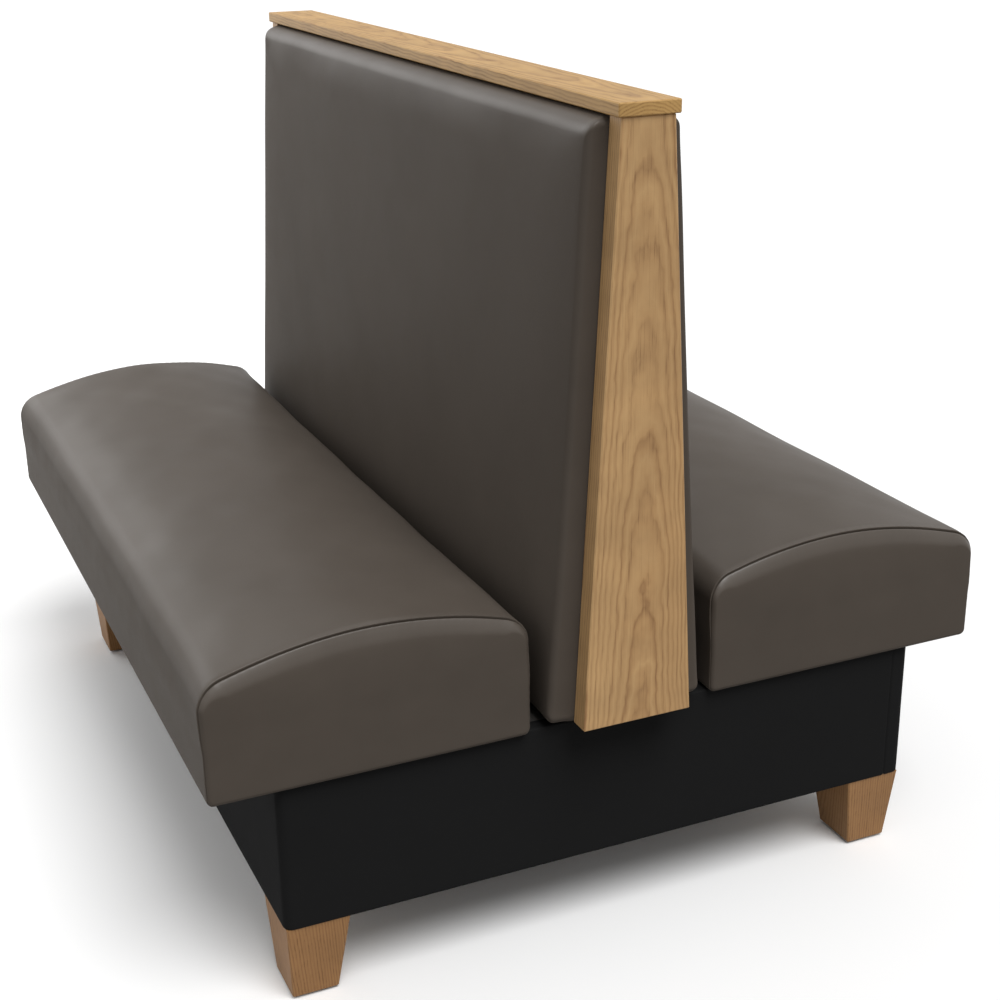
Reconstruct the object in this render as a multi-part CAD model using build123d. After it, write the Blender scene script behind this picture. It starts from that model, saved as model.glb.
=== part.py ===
from build123d import *
from math import cos, radians, sin
import os

os.makedirs("parts", exist_ok=True)

# Double restaurant booth: two lift off seats on one base, back to back.
# X runs along the booth, the front seat faces -Y and the rear seat faces +Y.
# Z is up, and the origin is on the floor under the middle of the booth.

# Overall sizes
overall_height = 1022
cap_length = 1219
cap_depth = 74
cap_thickness = 15
oak_arris = 1.3

# Oak end boards that close the two ends of the back
end_board_thickness = 26
end_board_top_width = 64
end_board_bottom_width = 141
end_board_lift = 10
cap_end_overhang = 3

# Base box, wrapped in black vinyl
base_end_inset = 51
base_depth = 856
base_top = 296
base_bottom = 106
base_vinyl = 1
base_corner_round = 12
base_board_thickness = 18
cover_seam_inset = 26
cover_seam_gap = 0.6
dado_depth = 5
joinery_clearance = 0.2

# Crosspieces that carry the seats and the ribs of the back
crosspiece_block_gap = 10.5
crosspiece_thickness = 18
crosspiece_lift = 6
ledger_width = 84
ledger_thickness = 18

# Corner blocks, plates and legs
corner_block_leg = 150
corner_block_height = 40
corner_block_tip = 22
leg_plate_size = 64
leg_plate_thickness = 3
leg_plate_corner = 6
leg_plate_gap = 2
leg_plate_screw_inset = 10
leg_top_length = 92
leg_top_width = 78
leg_bottom_length = 66
leg_bottom_width = 57
leg_top_inset = 2
leg_bottom_inset_x = 15
leg_bottom_inset_y = 8
leg_arris = 1.5
hanger_bolt_radius = 4
hanger_bolt_in_leg = 42
hanger_bolt_above_plate = 14
hanger_bolt_clearance_radius = 6
glide_radius = 14
glide_thickness = 3
glide_edge = 0.8
glide_nail_radius = 1.6
glide_nail_length = 15

# Frame of the back
panel_recess = 1.5
panel_thickness = 9
rib_thickness = 18
rib_foot_lift = 24
top_rail_height = 22
lower_rail_height = 45
lower_rail_thickness = 18
lower_rail_lift = 12
rib_bolt_radius = 4
rib_bolt_head_radius = 8.5
rib_bolt_head_height = 4.5
rib_bolt_spread = 30
rib_bolt_low = 60
rib_bolt_high = 130
rib_nut_across_flats = 13
rib_nut_height = 6.5
rib_washer_radius = 10
rib_washer_thickness = 1.6
rib_bolt_stickout = 3

# Upholstered pads on both faces of the back
pad_vinyl = 1.2
pad_end_gap = 0.5
pad_cap_gap = 3
pad_base_gap = 7
pad_top_thickness = 26.3
pad_bottom_thickness = 34.8
pad_crown = 5
pad_side_round = 13
pad_top_round = 26
pad_bottom_round = 14
foam_clearance = 0.3

# Seat cushions
seat_end_overhang = 12
seat_front_overhang = 83
seat_back_gap = 15
seat_rest_gap = 0.3
seat_vinyl = 1.2
seat_crown_rise = 179
seat_front_shoulder = 112
seat_rear_shoulder = 120
seat_front_round = 39
seat_rear_round = 36
seat_crown_lean = 17
seat_front_bulge = 3
seat_rear_bulge = 2
seat_draw_in = 2.5
seat_bottom_round = 8
seat_end_round = 7
seat_cover_flange = 12

# Wooden frame inside each seat
frame_height = 62
frame_rail_thickness = 20
frame_cover_gap = 0.5
centre_rail_drop = 12
tongue_width = 24
tongue_height = 40
tongue_depth = 26
tongue_length = 30
tongue_side_gap = 2

# Interlaced webbing that carries the foam
strap_width = 50
strap_thickness = 1.6
strap_crossing_gap = 0.3
along_strap_count = 3
across_strap_count = 9
strap_edge_inset = 4
deck_clearance = 0.3

# Countersunk wood screws, and the sides of round fasteners and discs
fastener_side_count = 6
disc_side_count = 16
screw_shank_radius = 2.1
screw_tip_radius = 0.5
screw_tip_length = 5
screw_head_radius = 4.2
screw_head_height = 2.6
screw_hole_clearance = 0.1
plate_screw_length = 28
cap_screw_length = 33
board_screw_length = 36
cap_screw_shares = (0.3, 0.78)
board_screw_shares = (0.14, 0.5, 0.86)

# One overrun for every cut that runs past its piece
overrun = 5

# Heights and widths worked out from the sizes above
cap_underside = overall_height - cap_thickness
board_outer = cap_length / 2 - cap_end_overhang
board_inner = board_outer - end_board_thickness
board_bottom = base_top + end_board_lift
base_half_length = cap_length / 2 - base_end_inset
base_half_depth = base_depth / 2
frame_half_length = base_half_length - base_vinyl
frame_half_depth = base_half_depth - base_vinyl
inner_half_length = frame_half_length - base_board_thickness
inner_half_depth = frame_half_depth - base_board_thickness
crosspiece_plane = inner_half_length - corner_block_leg - crosspiece_block_gap - crosspiece_thickness
plate_top = base_bottom + leg_plate_thickness
top_rail_bottom = cap_underside - top_rail_height
pad_half_length = board_inner - pad_end_gap
pad_top = cap_underside - pad_cap_gap
pad_bottom = base_top + pad_base_gap
seat_half_length = base_half_length + seat_end_overhang
seat_front = base_half_depth + seat_front_overhang
seat_bottom = base_top + seat_rest_gap
rail_bottom = seat_bottom + seat_vinyl
rail_top = rail_bottom + frame_height
strap_step = strap_thickness + strap_crossing_gap
deck_top = rail_top + strap_thickness + strap_step + deck_clearance
rail_inset = seat_vinyl + frame_cover_gap
frame_edge_ease = seat_bottom_round - frame_cover_gap
rail_half_length = seat_half_length - rail_inset
rail_front = seat_front - seat_front_bulge - rail_inset


def block(x0, x1, y0, y1, z0, z1):
    # Box between six planes
    centre = Pos((x0 + x1) / 2, (y0 + y1) / 2, (z0 + z1) / 2)
    return centre * Box(x1 - x0, y1 - y0, z1 - z0)


def slab_along_x(points, x0, x1):
    # Outline of (y, z) points carried from x0 to x1
    face = make_face(Polyline(*points, close=True))
    return extrude(Plane.YZ.offset(x0) * face, amount=x1 - x0)


def slab_along_y(points, y0, y1):
    # Outline of (x, z) points carried from y0 to y1
    face = make_face(Polyline(*points, close=True))
    return extrude(Plane.XZ.offset(-y1) * face, amount=y1 - y0)


def slab_along_z(points, z0, z1):
    # Outline of (x, y) points carried from z0 to z1
    face = make_face(Polyline(*points, close=True))
    return extrude(Plane.XY.offset(z0) * face, amount=z1 - z0)


def faceted(steps, sides=fastener_side_count):
    # Round piece up the Z axis with few sides, through steps of (radius, z)
    return loft([Pos(0, 0, z) * RegularPolygon(radius, sides) for radius, z in steps], ruled=True)


def bar_along_x(radius, x0, x1, y, z):
    return Pos(x0, y, z) * Rot(0, 90, 0) * faceted([(radius, 0), (radius, x1 - x0)])


def group(pieces):
    return Compound(children=[piece.solid() for piece in pieces])


def other_face(shape):
    # The same piece on the other side of the back, from rear to front
    return mirror(shape, about=Plane.XZ)


def other_end(shape):
    # The same piece at the other end of the booth, from right to left
    return mirror(shape, about=Plane.YZ)


def at_four_corners(piece):
    # The piece is made in the +X, +Y corner
    right = [piece, other_face(piece)]
    return right + [other_end(one) for one in right]


def screw(length):
    # Countersunk screw with its head flush at Z 0 and its point down -Z
    return faceted([(screw_tip_radius, -length), (screw_shank_radius, screw_tip_length - length),
                    (screw_shank_radius, -screw_head_height), (screw_head_radius, 0)])


def screw_hole(length):
    # Drilled and countersunk hole for the same screw
    gap = screw_hole_clearance
    shank = screw_shank_radius + gap
    return faceted([(shank, -length - gap), (shank, -screw_head_height - gap), (screw_head_radius + gap, 0)])


# Tapered back: half widths at any height
def board_half(z):
    share = (z - board_bottom) / (cap_underside - board_bottom)
    width = end_board_bottom_width + share * (end_board_top_width - end_board_bottom_width)
    return width / 2


def panel_face(z):
    return board_half(z) - panel_recess


def rib_edge(z):
    return panel_face(z) - panel_thickness


def pad_face(z):
    share = (z - pad_bottom) / (pad_top - pad_bottom)
    return panel_face(z) + pad_bottom_thickness + share * (pad_top_thickness - pad_bottom_thickness)


# Rear of the seats, just in front of the foot of the pads
seat_rear = pad_face(pad_bottom) + seat_back_gap
rail_rear = seat_rear + seat_rear_bulge + rail_inset


# Base box
def base_outline(half_length, half_depth, corner, z0, z1):
    face = RectangleRounded(2 * half_length, 2 * half_depth, corner)
    return extrude(Plane.XY.offset(z0) * face, amount=z1 - z0)


def crosspiece_spans():
    # The ribs stand on the inner side of the outer crosspieces
    right = (crosspiece_plane, crosspiece_plane + crosspiece_thickness)
    centre = (-crosspiece_thickness, 0)
    left = (-crosspiece_plane - crosspiece_thickness, -crosspiece_plane)
    return {"left": left, "centre": centre, "right": right}


def rib_spans():
    right = (crosspiece_plane - rib_thickness, crosspiece_plane)
    centre = (0, rib_thickness)
    left = (-crosspiece_plane, rib_thickness - crosspiece_plane)
    return {"left": left, "centre": centre, "right": right}


def crosspiece_bottom():
    return base_bottom + base_vinyl + crosspiece_lift


def make_long_board():
    # Rear long board with rounded ends and a housing for each crosspiece
    z0 = base_bottom + base_vinyl
    z1 = base_top - base_vinyl
    board = block(-frame_half_length, frame_half_length, inner_half_depth, frame_half_depth, z0, z1)
    outer = board.edges().filter_by(Axis.Z).group_by(Axis.Y)[-1]
    board = fillet(outer, base_corner_round - base_vinyl)
    for x0, x1 in crosspiece_spans().values():
        y1 = inner_half_depth + dado_depth + joinery_clearance
        low = crosspiece_bottom() - joinery_clearance
        board -= block(x0 - joinery_clearance, x1 + joinery_clearance, inner_half_depth - overrun, y1,
                       low, z1 + overrun)
    return board


def make_end_board_of_base():
    z0 = base_bottom + base_vinyl
    z1 = base_top - base_vinyl
    return block(inner_half_length, frame_half_length, -inner_half_depth, inner_half_depth, z0, z1)


def make_crosspiece(x0, x1):
    reach = inner_half_depth + dado_depth
    piece = block(x0, x1, -reach, reach, crosspiece_bottom(), base_top)
    # The vinyl folded over the long boards takes the top of each end
    for side in (-1, 1):
        y0, y1 = sorted((side * inner_half_depth, side * (reach + overrun)))
        piece -= block(x0 - overrun, x1 + overrun, y0, y1, base_top - base_vinyl - joinery_clearance,
                       base_top + overrun)
        piece -= ledger_notch(x0, x1, side)
    return piece - rib_bolt_holes()


def ledger_span():
    # From just outside the ribs to beyond the back rail of the seat
    y0 = rib_edge(base_top) + joinery_clearance
    return y0, y0 + ledger_width


def ledger_notch(x0, x1, side):
    y0, y1 = ledger_span()
    y0, y1 = sorted((side * (y0 - joinery_clearance), side * (y1 + joinery_clearance)))
    low = base_top - ledger_thickness
    return block(x0 - overrun, x1 + overrun, y0, y1, low, base_top + overrun)


def make_ledger():
    # Board let into the crosspieces, under the back rail of the seat
    y0, y1 = ledger_span()
    return block(-inner_half_length, inner_half_length, y0, y1, base_top - ledger_thickness, base_top)


def make_base_cover(front):
    # Vinyl folded over the top and bottom edges of the boards
    skin = base_outline(base_half_length, base_half_depth, base_corner_round, base_bottom, base_top)
    skin -= base_outline(frame_half_length, frame_half_depth, base_corner_round - base_vinyl,
                         base_bottom + base_vinyl, base_top - base_vinyl)
    skin -= block(-inner_half_length, inner_half_length, -inner_half_depth, inner_half_depth,
                  base_bottom - overrun, base_top + overrun)
    # Two strips, each round one corner, meet in a seam near the other corner
    seam = base_half_depth - cover_seam_inset
    reach_x = base_half_length + overrun
    reach_y = base_half_depth + overrun
    low = base_bottom - overrun
    high = base_top + overrun
    near = block(0, reach_x, -reach_y, seam - cover_seam_gap / 2, low, high)
    far = block(-reach_x, 0, -reach_y, -seam - cover_seam_gap / 2, low, high)
    strip = skin & (near + far)
    return strip if front else strip.rotate(Axis.Z, 180)


# Legs
def plate_centre():
    reach = leg_plate_gap + leg_plate_size / 2
    return inner_half_length - reach, inner_half_depth - reach


def plate_screw_places():
    # Driven up through the plate into the block
    reach = leg_plate_size / 2 - leg_plate_screw_inset
    x, y = plate_centre()
    corners = [(x + i * reach, y + j * reach) for i in (-1, 1) for j in (-1, 1)]
    return [Pos(*corner, base_bottom) * Rot(180, 0, 0) for corner in corners]


def make_corner_block():
    # Triangular block glued in the corner, with its two thin tips cut square
    x1, y1 = inner_half_length, inner_half_depth
    x0, y0 = x1 - corner_block_leg, y1 - corner_block_leg
    points = [(x1, y1), (x0, y1), (x0, y1 - corner_block_tip), (x1 - corner_block_tip, y0), (x1, y0)]
    piece = slab_along_z(points, plate_top, plate_top + corner_block_height)
    x, y = plate_centre()
    radius = hanger_bolt_clearance_radius
    piece -= Pos(x, y, plate_top) * faceted([(radius, -overrun), (radius, corner_block_height + overrun)])
    for place in plate_screw_places():
        piece -= place * screw_hole(plate_screw_length)
    return piece


def make_leg_plate():
    x, y = plate_centre()
    face = RectangleRounded(leg_plate_size, leg_plate_size, leg_plate_corner)
    plate = extrude(Pos(x, y, base_bottom) * face, amount=leg_plate_thickness)
    radius = hanger_bolt_radius + screw_hole_clearance
    plate -= Pos(x, y, base_bottom) * faceted([(radius, -overrun), (radius, leg_plate_thickness + overrun)])
    for place in plate_screw_places():
        plate -= place * screw_hole(plate_screw_length)
    return plate


def leg_trapezium(edge, top_inset, bottom_inset, top_width, bottom_width):
    # Front or side view of a leg below one edge of the base
    top = edge - top_inset
    bottom = edge - bottom_inset
    return [(bottom - bottom_width, glide_thickness), (bottom, glide_thickness), (top, base_bottom),
            (top - top_width, base_bottom)]


def make_leg():
    # Square cut leg that tapers more on its two inner faces
    front_view = leg_trapezium(base_half_length, leg_top_inset, leg_bottom_inset_x,
                               leg_top_length, leg_bottom_length)
    side_view = leg_trapezium(base_half_depth, leg_top_inset, leg_bottom_inset_y,
                              leg_top_width, leg_bottom_width)
    leg = slab_along_y(front_view, 0, base_half_depth) & slab_along_x(side_view, 0, base_half_length)
    top_edges = leg.faces().sort_by(Axis.Z)[-1].edges()
    leg = chamfer([edge for edge in leg.edges() if edge not in top_edges], leg_arris)
    x, y = plate_centre()
    bolt = hanger_bolt_radius + screw_hole_clearance
    depth = hanger_bolt_in_leg + screw_hole_clearance
    leg -= Pos(x, y, base_bottom) * faceted([(bolt, -depth), (bolt, overrun)])
    gx, gy = glide_centre()
    nail = glide_nail_radius + screw_hole_clearance
    rise = glide_nail_length + screw_hole_clearance
    return leg - Pos(gx, gy, glide_thickness) * faceted([(nail, -overrun), (nail, rise)])


def make_hanger_bolt():
    x, y = plate_centre()
    high = plate_top + hanger_bolt_above_plate
    return Pos(x, y, 0) * faceted([(hanger_bolt_radius, base_bottom - hanger_bolt_in_leg),
                                   (hanger_bolt_radius, high)])


def glide_centre():
    x = base_half_length - leg_bottom_inset_x - leg_bottom_length / 2
    y = base_half_depth - leg_bottom_inset_y - leg_bottom_width / 2
    return x, y


def make_glide():
    # Nylon disc with its own nail, driven up into the leg
    disc = faceted([(glide_radius - glide_edge, 0), (glide_radius, glide_edge),
                    (glide_radius, glide_thickness)], disc_side_count)
    nail = faceted([(glide_nail_radius, glide_thickness),
                    (glide_nail_radius, glide_thickness + glide_nail_length)])
    return Pos(*glide_centre(), 0) * (disc + nail)


# Frame of the back
def rib_bolt_places():
    return [(-rib_bolt_spread, crosspiece_bottom() + rib_bolt_low),
            (rib_bolt_spread, crosspiece_bottom() + rib_bolt_high)]


def rib_bolt_holes():
    holes = []
    radius = rib_bolt_radius + screw_hole_clearance
    for x0, x1 in crosspiece_spans().values():
        for y, z in rib_bolt_places():
            reach = rib_thickness + overrun
            holes.append(bar_along_x(radius, x0 - reach, x1 + reach, y, z))
    return holes


def lower_rail_outline(clearance=0):
    # Outer face follows the slope of the ribs
    z0 = board_bottom + lower_rail_lift - clearance
    z1 = board_bottom + lower_rail_lift + lower_rail_height + clearance
    inner = rib_edge(z0) - lower_rail_thickness - clearance
    outer = overrun if clearance else 0
    return [(inner, z0), (rib_edge(z0) + outer, z0), (rib_edge(z1) + outer, z1), (inner, z1)]


def notch_for_lower_rails(piece, x0, x1):
    notch = slab_along_x(lower_rail_outline(joinery_clearance), x0 - overrun, x1 + overrun)
    return piece - notch - other_face(notch)


def make_rib(x0, x1):
    # Tapered rib, straight below the base top where it laps its crosspiece
    foot = crosspiece_bottom() + rib_foot_lift
    points = [(rib_edge(base_top), foot), (rib_edge(base_top), base_top),
              (rib_edge(top_rail_bottom), top_rail_bottom)]
    points += [(-y, z) for y, z in reversed(points)]
    rib = slab_along_x(points, x0, x1)
    rib = notch_for_lower_rails(rib, x0, x1)
    return rib - rib_bolt_holes()


def make_end_post():
    x0 = board_inner - rib_thickness
    points = [(rib_edge(board_bottom), board_bottom), (rib_edge(top_rail_bottom), top_rail_bottom)]
    points += [(-y, z) for y, z in reversed(points)]
    post = slab_along_x(points, x0, board_inner)
    post = notch_for_lower_rails(post, x0, board_inner)
    for place in board_screw_places():
        post -= place * screw_hole(board_screw_length)
    return post


def make_lower_rail():
    return slab_along_x(lower_rail_outline(), -board_inner, board_inner)


def make_top_rail():
    points = [(rib_edge(top_rail_bottom), top_rail_bottom), (rib_edge(cap_underside), cap_underside)]
    points += [(-y, z) for y, z in reversed(points)]
    rail = slab_along_x(points, -board_inner, board_inner)
    for place in cap_screw_places():
        rail -= place * screw_hole(cap_screw_length)
    return rail


def make_panel():
    # Plywood back of a pad, on the slope of the ribs and with the outline of the pad
    low = pad_bottom - overrun
    high = pad_top + overrun
    sheet = pad_form(pad_vinyl + foam_clearance) - behind(rib_edge, low, high)
    return sheet & behind(panel_face, low, high)


def make_rib_bolts():
    bolts = []
    for x0, x1 in bolt_runs():
        grip = x1 + rib_nut_height + rib_washer_thickness + rib_bolt_stickout
        for y, z in rib_bolt_places():
            head = faceted([(rib_bolt_head_radius / 2, -rib_bolt_head_height), (rib_bolt_head_radius, 0)])
            shank = faceted([(rib_bolt_radius, 0), (rib_bolt_radius, grip - x0)])
            bolts.append(Pos(x0, y, z) * Rot(0, 90, 0) * (head + shank))
    return bolts


def bolt_runs():
    # The pair of crosspiece and rib that each bolt clamps, along X
    runs = []
    for name, (x0, x1) in crosspiece_spans().items():
        r0, r1 = rib_spans()[name]
        runs.append((min(x0, r0), max(x1, r1)))
    return runs


def make_rib_nuts():
    nuts = []
    hole = rib_bolt_radius + screw_hole_clearance
    for x0, x1 in bolt_runs():
        for y, z in rib_bolt_places():
            bore = RegularPolygon(hole, fastener_side_count)
            face = RegularPolygon(rib_nut_across_flats / 2, 6, major_radius=False) - bore
            nut = extrude(face, amount=rib_nut_height)
            disc = RegularPolygon(rib_washer_radius, disc_side_count) - bore
            washer = extrude(disc, amount=-rib_washer_thickness)
            start = x1 + rib_washer_thickness
            nuts.append(Pos(start, y, z) * Rot(0, 90, 0) * (nut + washer))
    return nuts


# Oak trim
def make_end_board():
    points = [(board_half(board_bottom), board_bottom), (board_half(cap_underside), cap_underside)]
    points += [(-y, z) for y, z in reversed(points)]
    board = slab_along_x(points, board_inner, board_outer)
    outer = [edge for edge in board.edges() if edge.center().X > board_inner + oak_arris]
    board = chamfer(outer, oak_arris)
    for place in board_screw_places():
        board -= place * screw_hole(board_screw_length)
    return board


def make_cap():
    cap = block(-cap_length / 2, cap_length / 2, -cap_depth / 2, cap_depth / 2,
                cap_underside, overall_height)
    cap = chamfer(cap.edges(), oak_arris)
    for place in cap_screw_places():
        cap -= place * screw_hole(cap_screw_length)
    return cap


def cap_screw_places():
    # Driven up through the top rail into the cap
    reaches = [side * share * board_inner for share in cap_screw_shares for side in (-1, 1)]
    return [Pos(x, 0, top_rail_bottom) * Rot(180, 0, 0) for x in reaches]


def board_screw_places():
    # Driven from inside the back through the end post into the oak
    rise = top_rail_bottom - board_bottom
    x = board_inner - rib_thickness
    return [Pos(x, 0, board_bottom + share * rise) * Rot(0, -90, 0) for share in board_screw_shares]


# Pads of the back, made on the +Y face
def pad_slice(inset, z, face, half_length):
    # Level slice: flat inside, rounded ends, slightly crowned face
    corner = pad_side_round - inset
    bend = corner * (1 - cos(radians(45)))
    inner = 0
    crown = face + pad_crown
    start = (-half_length, inner, z)
    points = [(-half_length, face - corner, z), (-half_length + bend, face - bend, z),
              (-half_length + corner, face, z)]
    left_arc = ThreePointArc(*points)
    right_arc = ThreePointArc(*[(-x, y, z) for x, y, z in reversed(points)])
    edges = [Line(start, points[0]), left_arc, ThreePointArc(points[2], (0, crown, z), right_arc @ 0),
             right_arc, Line(right_arc @ 1, (half_length, inner, z)), Line((half_length, inner, z), start)]
    return make_face(Wire(edges))


def pad_form(inset):
    # Slices that round over at the top and, more tightly, at the bottom
    slices = []
    top_round = pad_top_round - inset
    bottom_round = pad_bottom_round - inset
    for angle in (90, 45, 0):
        drop = bottom_round * (1 - sin(radians(angle)))
        back = bottom_round * (1 - cos(radians(angle)))
        slices.append((pad_bottom + inset + drop, back, bottom_round))
    for angle in (0, 30, 60, 90):
        drop = top_round * (1 - sin(radians(angle)))
        back = top_round * (1 - cos(radians(angle)))
        slices.append((pad_top - inset - drop, back, top_round))
    faces = []
    for z, back, over in slices:
        side = back * pad_side_round / over / 2
        faces.append(pad_slice(inset, z, pad_face(z) - inset - back, pad_half_length - inset - side))
    return loft(faces, ruled=True)


def behind(line, z0, z1):
    # Everything on the inner side of a sloping plane of the back
    reach = pad_half_length + overrun
    depth = -pad_face(pad_bottom)
    return slab_along_x([(depth, z0), (line(z0), z0), (line(z1), z1), (depth, z1)], -reach, reach)


def make_pad_cover():
    # Vinyl over the foam and over the edges of the panel
    low = pad_bottom - overrun
    high = pad_top + overrun
    return pad_form(0) - pad_form(pad_vinyl) - behind(rib_edge, low, high)


def make_pad_foam():
    low = pad_bottom - overrun
    high = pad_top + overrun
    return pad_form(pad_vinyl + foam_clearance) - behind(panel_face, low, high)


# Seats, made on the +Y side
def seat_slice(x, inset, draw):
    # Side view of the cushion: flat under the frame, bulged foam, crowned top
    lean = radians(seat_crown_lean)
    low = seat_bottom + inset
    foot = seat_bottom_round - inset
    foot_bend = foot * (1 - cos(radians(45)))
    front = seat_front - inset - draw
    rear = seat_rear + inset + draw
    frame_front = seat_front - seat_front_bulge - inset
    frame_rear = seat_rear + seat_rear_bulge + inset
    front_round = seat_front_round - inset
    rear_round = seat_rear_round - inset
    front_turn = (seat_bottom + seat_front_shoulder, front - front_round)
    rear_turn = (seat_bottom + seat_rear_shoulder, rear + rear_round)
    half_turn = (radians(90) + lean) / 2
    front_end = (front_turn[1] + front_round * sin(lean), front_turn[0] + front_round * cos(lean))
    front_mid = (front_turn[1] + front_round * sin(half_turn), front_turn[0] + front_round * cos(half_turn))
    rear_end = (rear_turn[1] - rear_round * sin(lean), rear_turn[0] + rear_round * cos(lean))
    rear_mid = (rear_turn[1] - rear_round * sin(half_turn), rear_turn[0] + rear_round * cos(half_turn))
    crown = ((front_end[0] + rear_end[0]) / 2, seat_bottom + seat_crown_rise - inset)
    points = {
        "foot_rear": (frame_rear + foot, low),
        "foot_front": (frame_front - foot, low),
        "foot_front_bend": (frame_front - foot_bend, low + foot_bend),
        "front_low": (frame_front, low + foot),
        "front_rail": (frame_front, rail_top),
        "front_bulge": ((frame_front + 2 * front) / 3, (rail_top + front_turn[0]) / 2),
        "front_shoulder": (front, front_turn[0]),
        "rear_shoulder": (rear, rear_turn[0]),
        "rear_bulge": ((frame_rear + 2 * rear) / 3, (rail_top + rear_turn[0]) / 2),
        "rear_rail": (frame_rear, rail_top),
        "rear_low": (frame_rear, low + foot),
        "foot_rear_bend": (frame_rear + foot_bend, low + foot_bend),
    }
    at = {name: (x, y, z) for name, (y, z) in points.items()}
    edges = [
        Line(at["foot_rear"], at["foot_front"]),
        ThreePointArc(at["foot_front"], at["foot_front_bend"], at["front_low"]),
        Line(at["front_low"], at["front_rail"]),
        ThreePointArc(at["front_rail"], at["front_bulge"], at["front_shoulder"]),
        ThreePointArc(at["front_shoulder"], (x, *front_mid), (x, *front_end)),
        ThreePointArc((x, *front_end), (x, *crown), (x, *rear_end)),
        ThreePointArc((x, *rear_end), (x, *rear_mid), at["rear_shoulder"]),
        ThreePointArc(at["rear_shoulder"], at["rear_bulge"], at["rear_rail"]),
        Line(at["rear_rail"], at["rear_low"]),
        ThreePointArc(at["rear_low"], at["foot_rear_bend"], at["foot_rear"]),
    ]
    return make_face(Wire(edges))


def seat_form(inset):
    # The ends round over in two steps, and the long sides draw in at the middle
    round_over = seat_end_round - inset
    half = seat_half_length - inset
    stations = []
    for angle in (90, 45, 0):
        x = half - round_over * (1 - sin(radians(angle)))
        stations.append((x, inset + round_over * (1 - cos(radians(angle))), 0))
    stations.append((0, inset, seat_draw_in))
    stations += [(-x, more, draw) for x, more, draw in reversed(stations[:-1])]
    return loft([seat_slice(x, more, draw) for x, more, draw in reversed(stations)], ruled=True)


def make_seat_cover():
    cover = seat_form(0) - seat_form(seat_vinyl)
    reach_x = rail_half_length - seat_cover_flange
    return cover - block(-reach_x, reach_x, rail_rear + seat_cover_flange, rail_front - seat_cover_flange,
                         seat_bottom - overrun, rail_top)


def make_seat_foam():
    half = seat_half_length
    under = block(-half, half, 0, seat_front, seat_bottom - overrun, deck_top)
    return seat_form(seat_vinyl + foam_clearance) - under


def make_seat_end_rail():
    x0 = rail_half_length - frame_rail_thickness
    rail = block(x0, rail_half_length, rail_rear, rail_front, rail_bottom, rail_top)
    outer = rail.edges().filter_by(Axis.Z).group_by(Axis.X)[-1]
    under = rail.faces().sort_by(Axis.Z)[0].edges()
    under = [edge for edge in under if edge.center().X > x0 + frame_edge_ease / 2]
    return chamfer([*outer, *under], frame_edge_ease)


def make_seat_long_rail(front):
    reach = rail_half_length - frame_rail_thickness
    if front:
        y0, y1 = rail_front - frame_rail_thickness, rail_front
    else:
        y0, y1 = rail_rear, rail_rear + frame_rail_thickness
    rail = block(-reach, reach, y0, y1, rail_bottom, rail_top)
    outer = rail.edges().filter_by(Axis.X).group_by(Axis.Z)[0].sort_by(Axis.Y)[-1 if front else 0]
    return chamfer([outer], frame_edge_ease)


def make_seat_centre_rail():
    half = frame_rail_thickness / 2
    return block(-half, half, rail_rear + frame_rail_thickness, rail_front - frame_rail_thickness,
                 rail_bottom, rail_top - centre_rail_drop)


def tongue_span():
    # Beside the outer face of a crosspiece, which keeps the seat from moving sideways
    x0 = crosspiece_plane + crosspiece_thickness + tongue_side_gap
    return x0, x0 + tongue_width


def make_tongue():
    # Batten between the long rails with a tongue that drops inside the base
    x0, x1 = tongue_span()
    y0 = rail_rear + frame_rail_thickness
    y1 = rail_front - frame_rail_thickness
    stop = inner_half_depth - tongue_side_gap
    back = stop - tongue_length
    top = rail_bottom + tongue_height
    low = seat_bottom - tongue_depth
    nose = tongue_length / 3
    points = [(y0, rail_bottom), (back, rail_bottom), (back, low + nose), (back + nose, low),
              (stop - nose, low), (stop, low + nose), (stop, rail_bottom), (y1, rail_bottom),
              (y1, top), (y0, top)]
    return slab_along_x(points, x0, x1)


# Webbing deck
def strap_centres(low, high, count):
    # Even spacing between the rails with the same gap at the ends
    pitch = (high - low) / count
    return [low + pitch * (i + 1 / 2) for i in range(count)]


def strap_outline(start, end, crossings):
    # Side view of one strap that rises over every second strap it meets
    reach = strap_width / 2
    levels = [(start, 0), (start + frame_rail_thickness, 0)]
    for centre, level in crossings:
        levels += [(centre - reach, level), (centre + reach, level)]
    levels += [(end - frame_rail_thickness, 0), (end, 0)]
    under = [(s, rail_top + level * strap_step) for s, level in levels]
    over = [(s, z + strap_thickness) for s, z in reversed(under)]
    return under + over


def make_webbing():
    # Straps over and under each other like a basket, stapled on the rails
    inner_x = rail_half_length - frame_rail_thickness
    y_low = rail_rear + frame_rail_thickness
    y_high = rail_front - frame_rail_thickness
    across = strap_centres(-inner_x, inner_x, across_strap_count)
    along = strap_centres(y_low, y_high, along_strap_count)
    straps = []
    for i, x in enumerate(across):
        crossings = [(y, (i + j) % 2) for j, y in enumerate(along)]
        outline = strap_outline(rail_rear + strap_edge_inset, rail_front - strap_edge_inset, crossings)
        straps.append(slab_along_x(outline, x - strap_width / 2, x + strap_width / 2))
    for j, y in enumerate(along):
        crossings = [(x, (i + j + 1) % 2) for i, x in enumerate(across)]
        reach = rail_half_length - strap_edge_inset
        outline = strap_outline(-reach, reach, crossings)
        straps.append(slab_along_y(outline, y - strap_width / 2, y + strap_width / 2))
    return straps


def save(name, shape):
    export_step(shape, f"parts/{name}.step")


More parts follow.
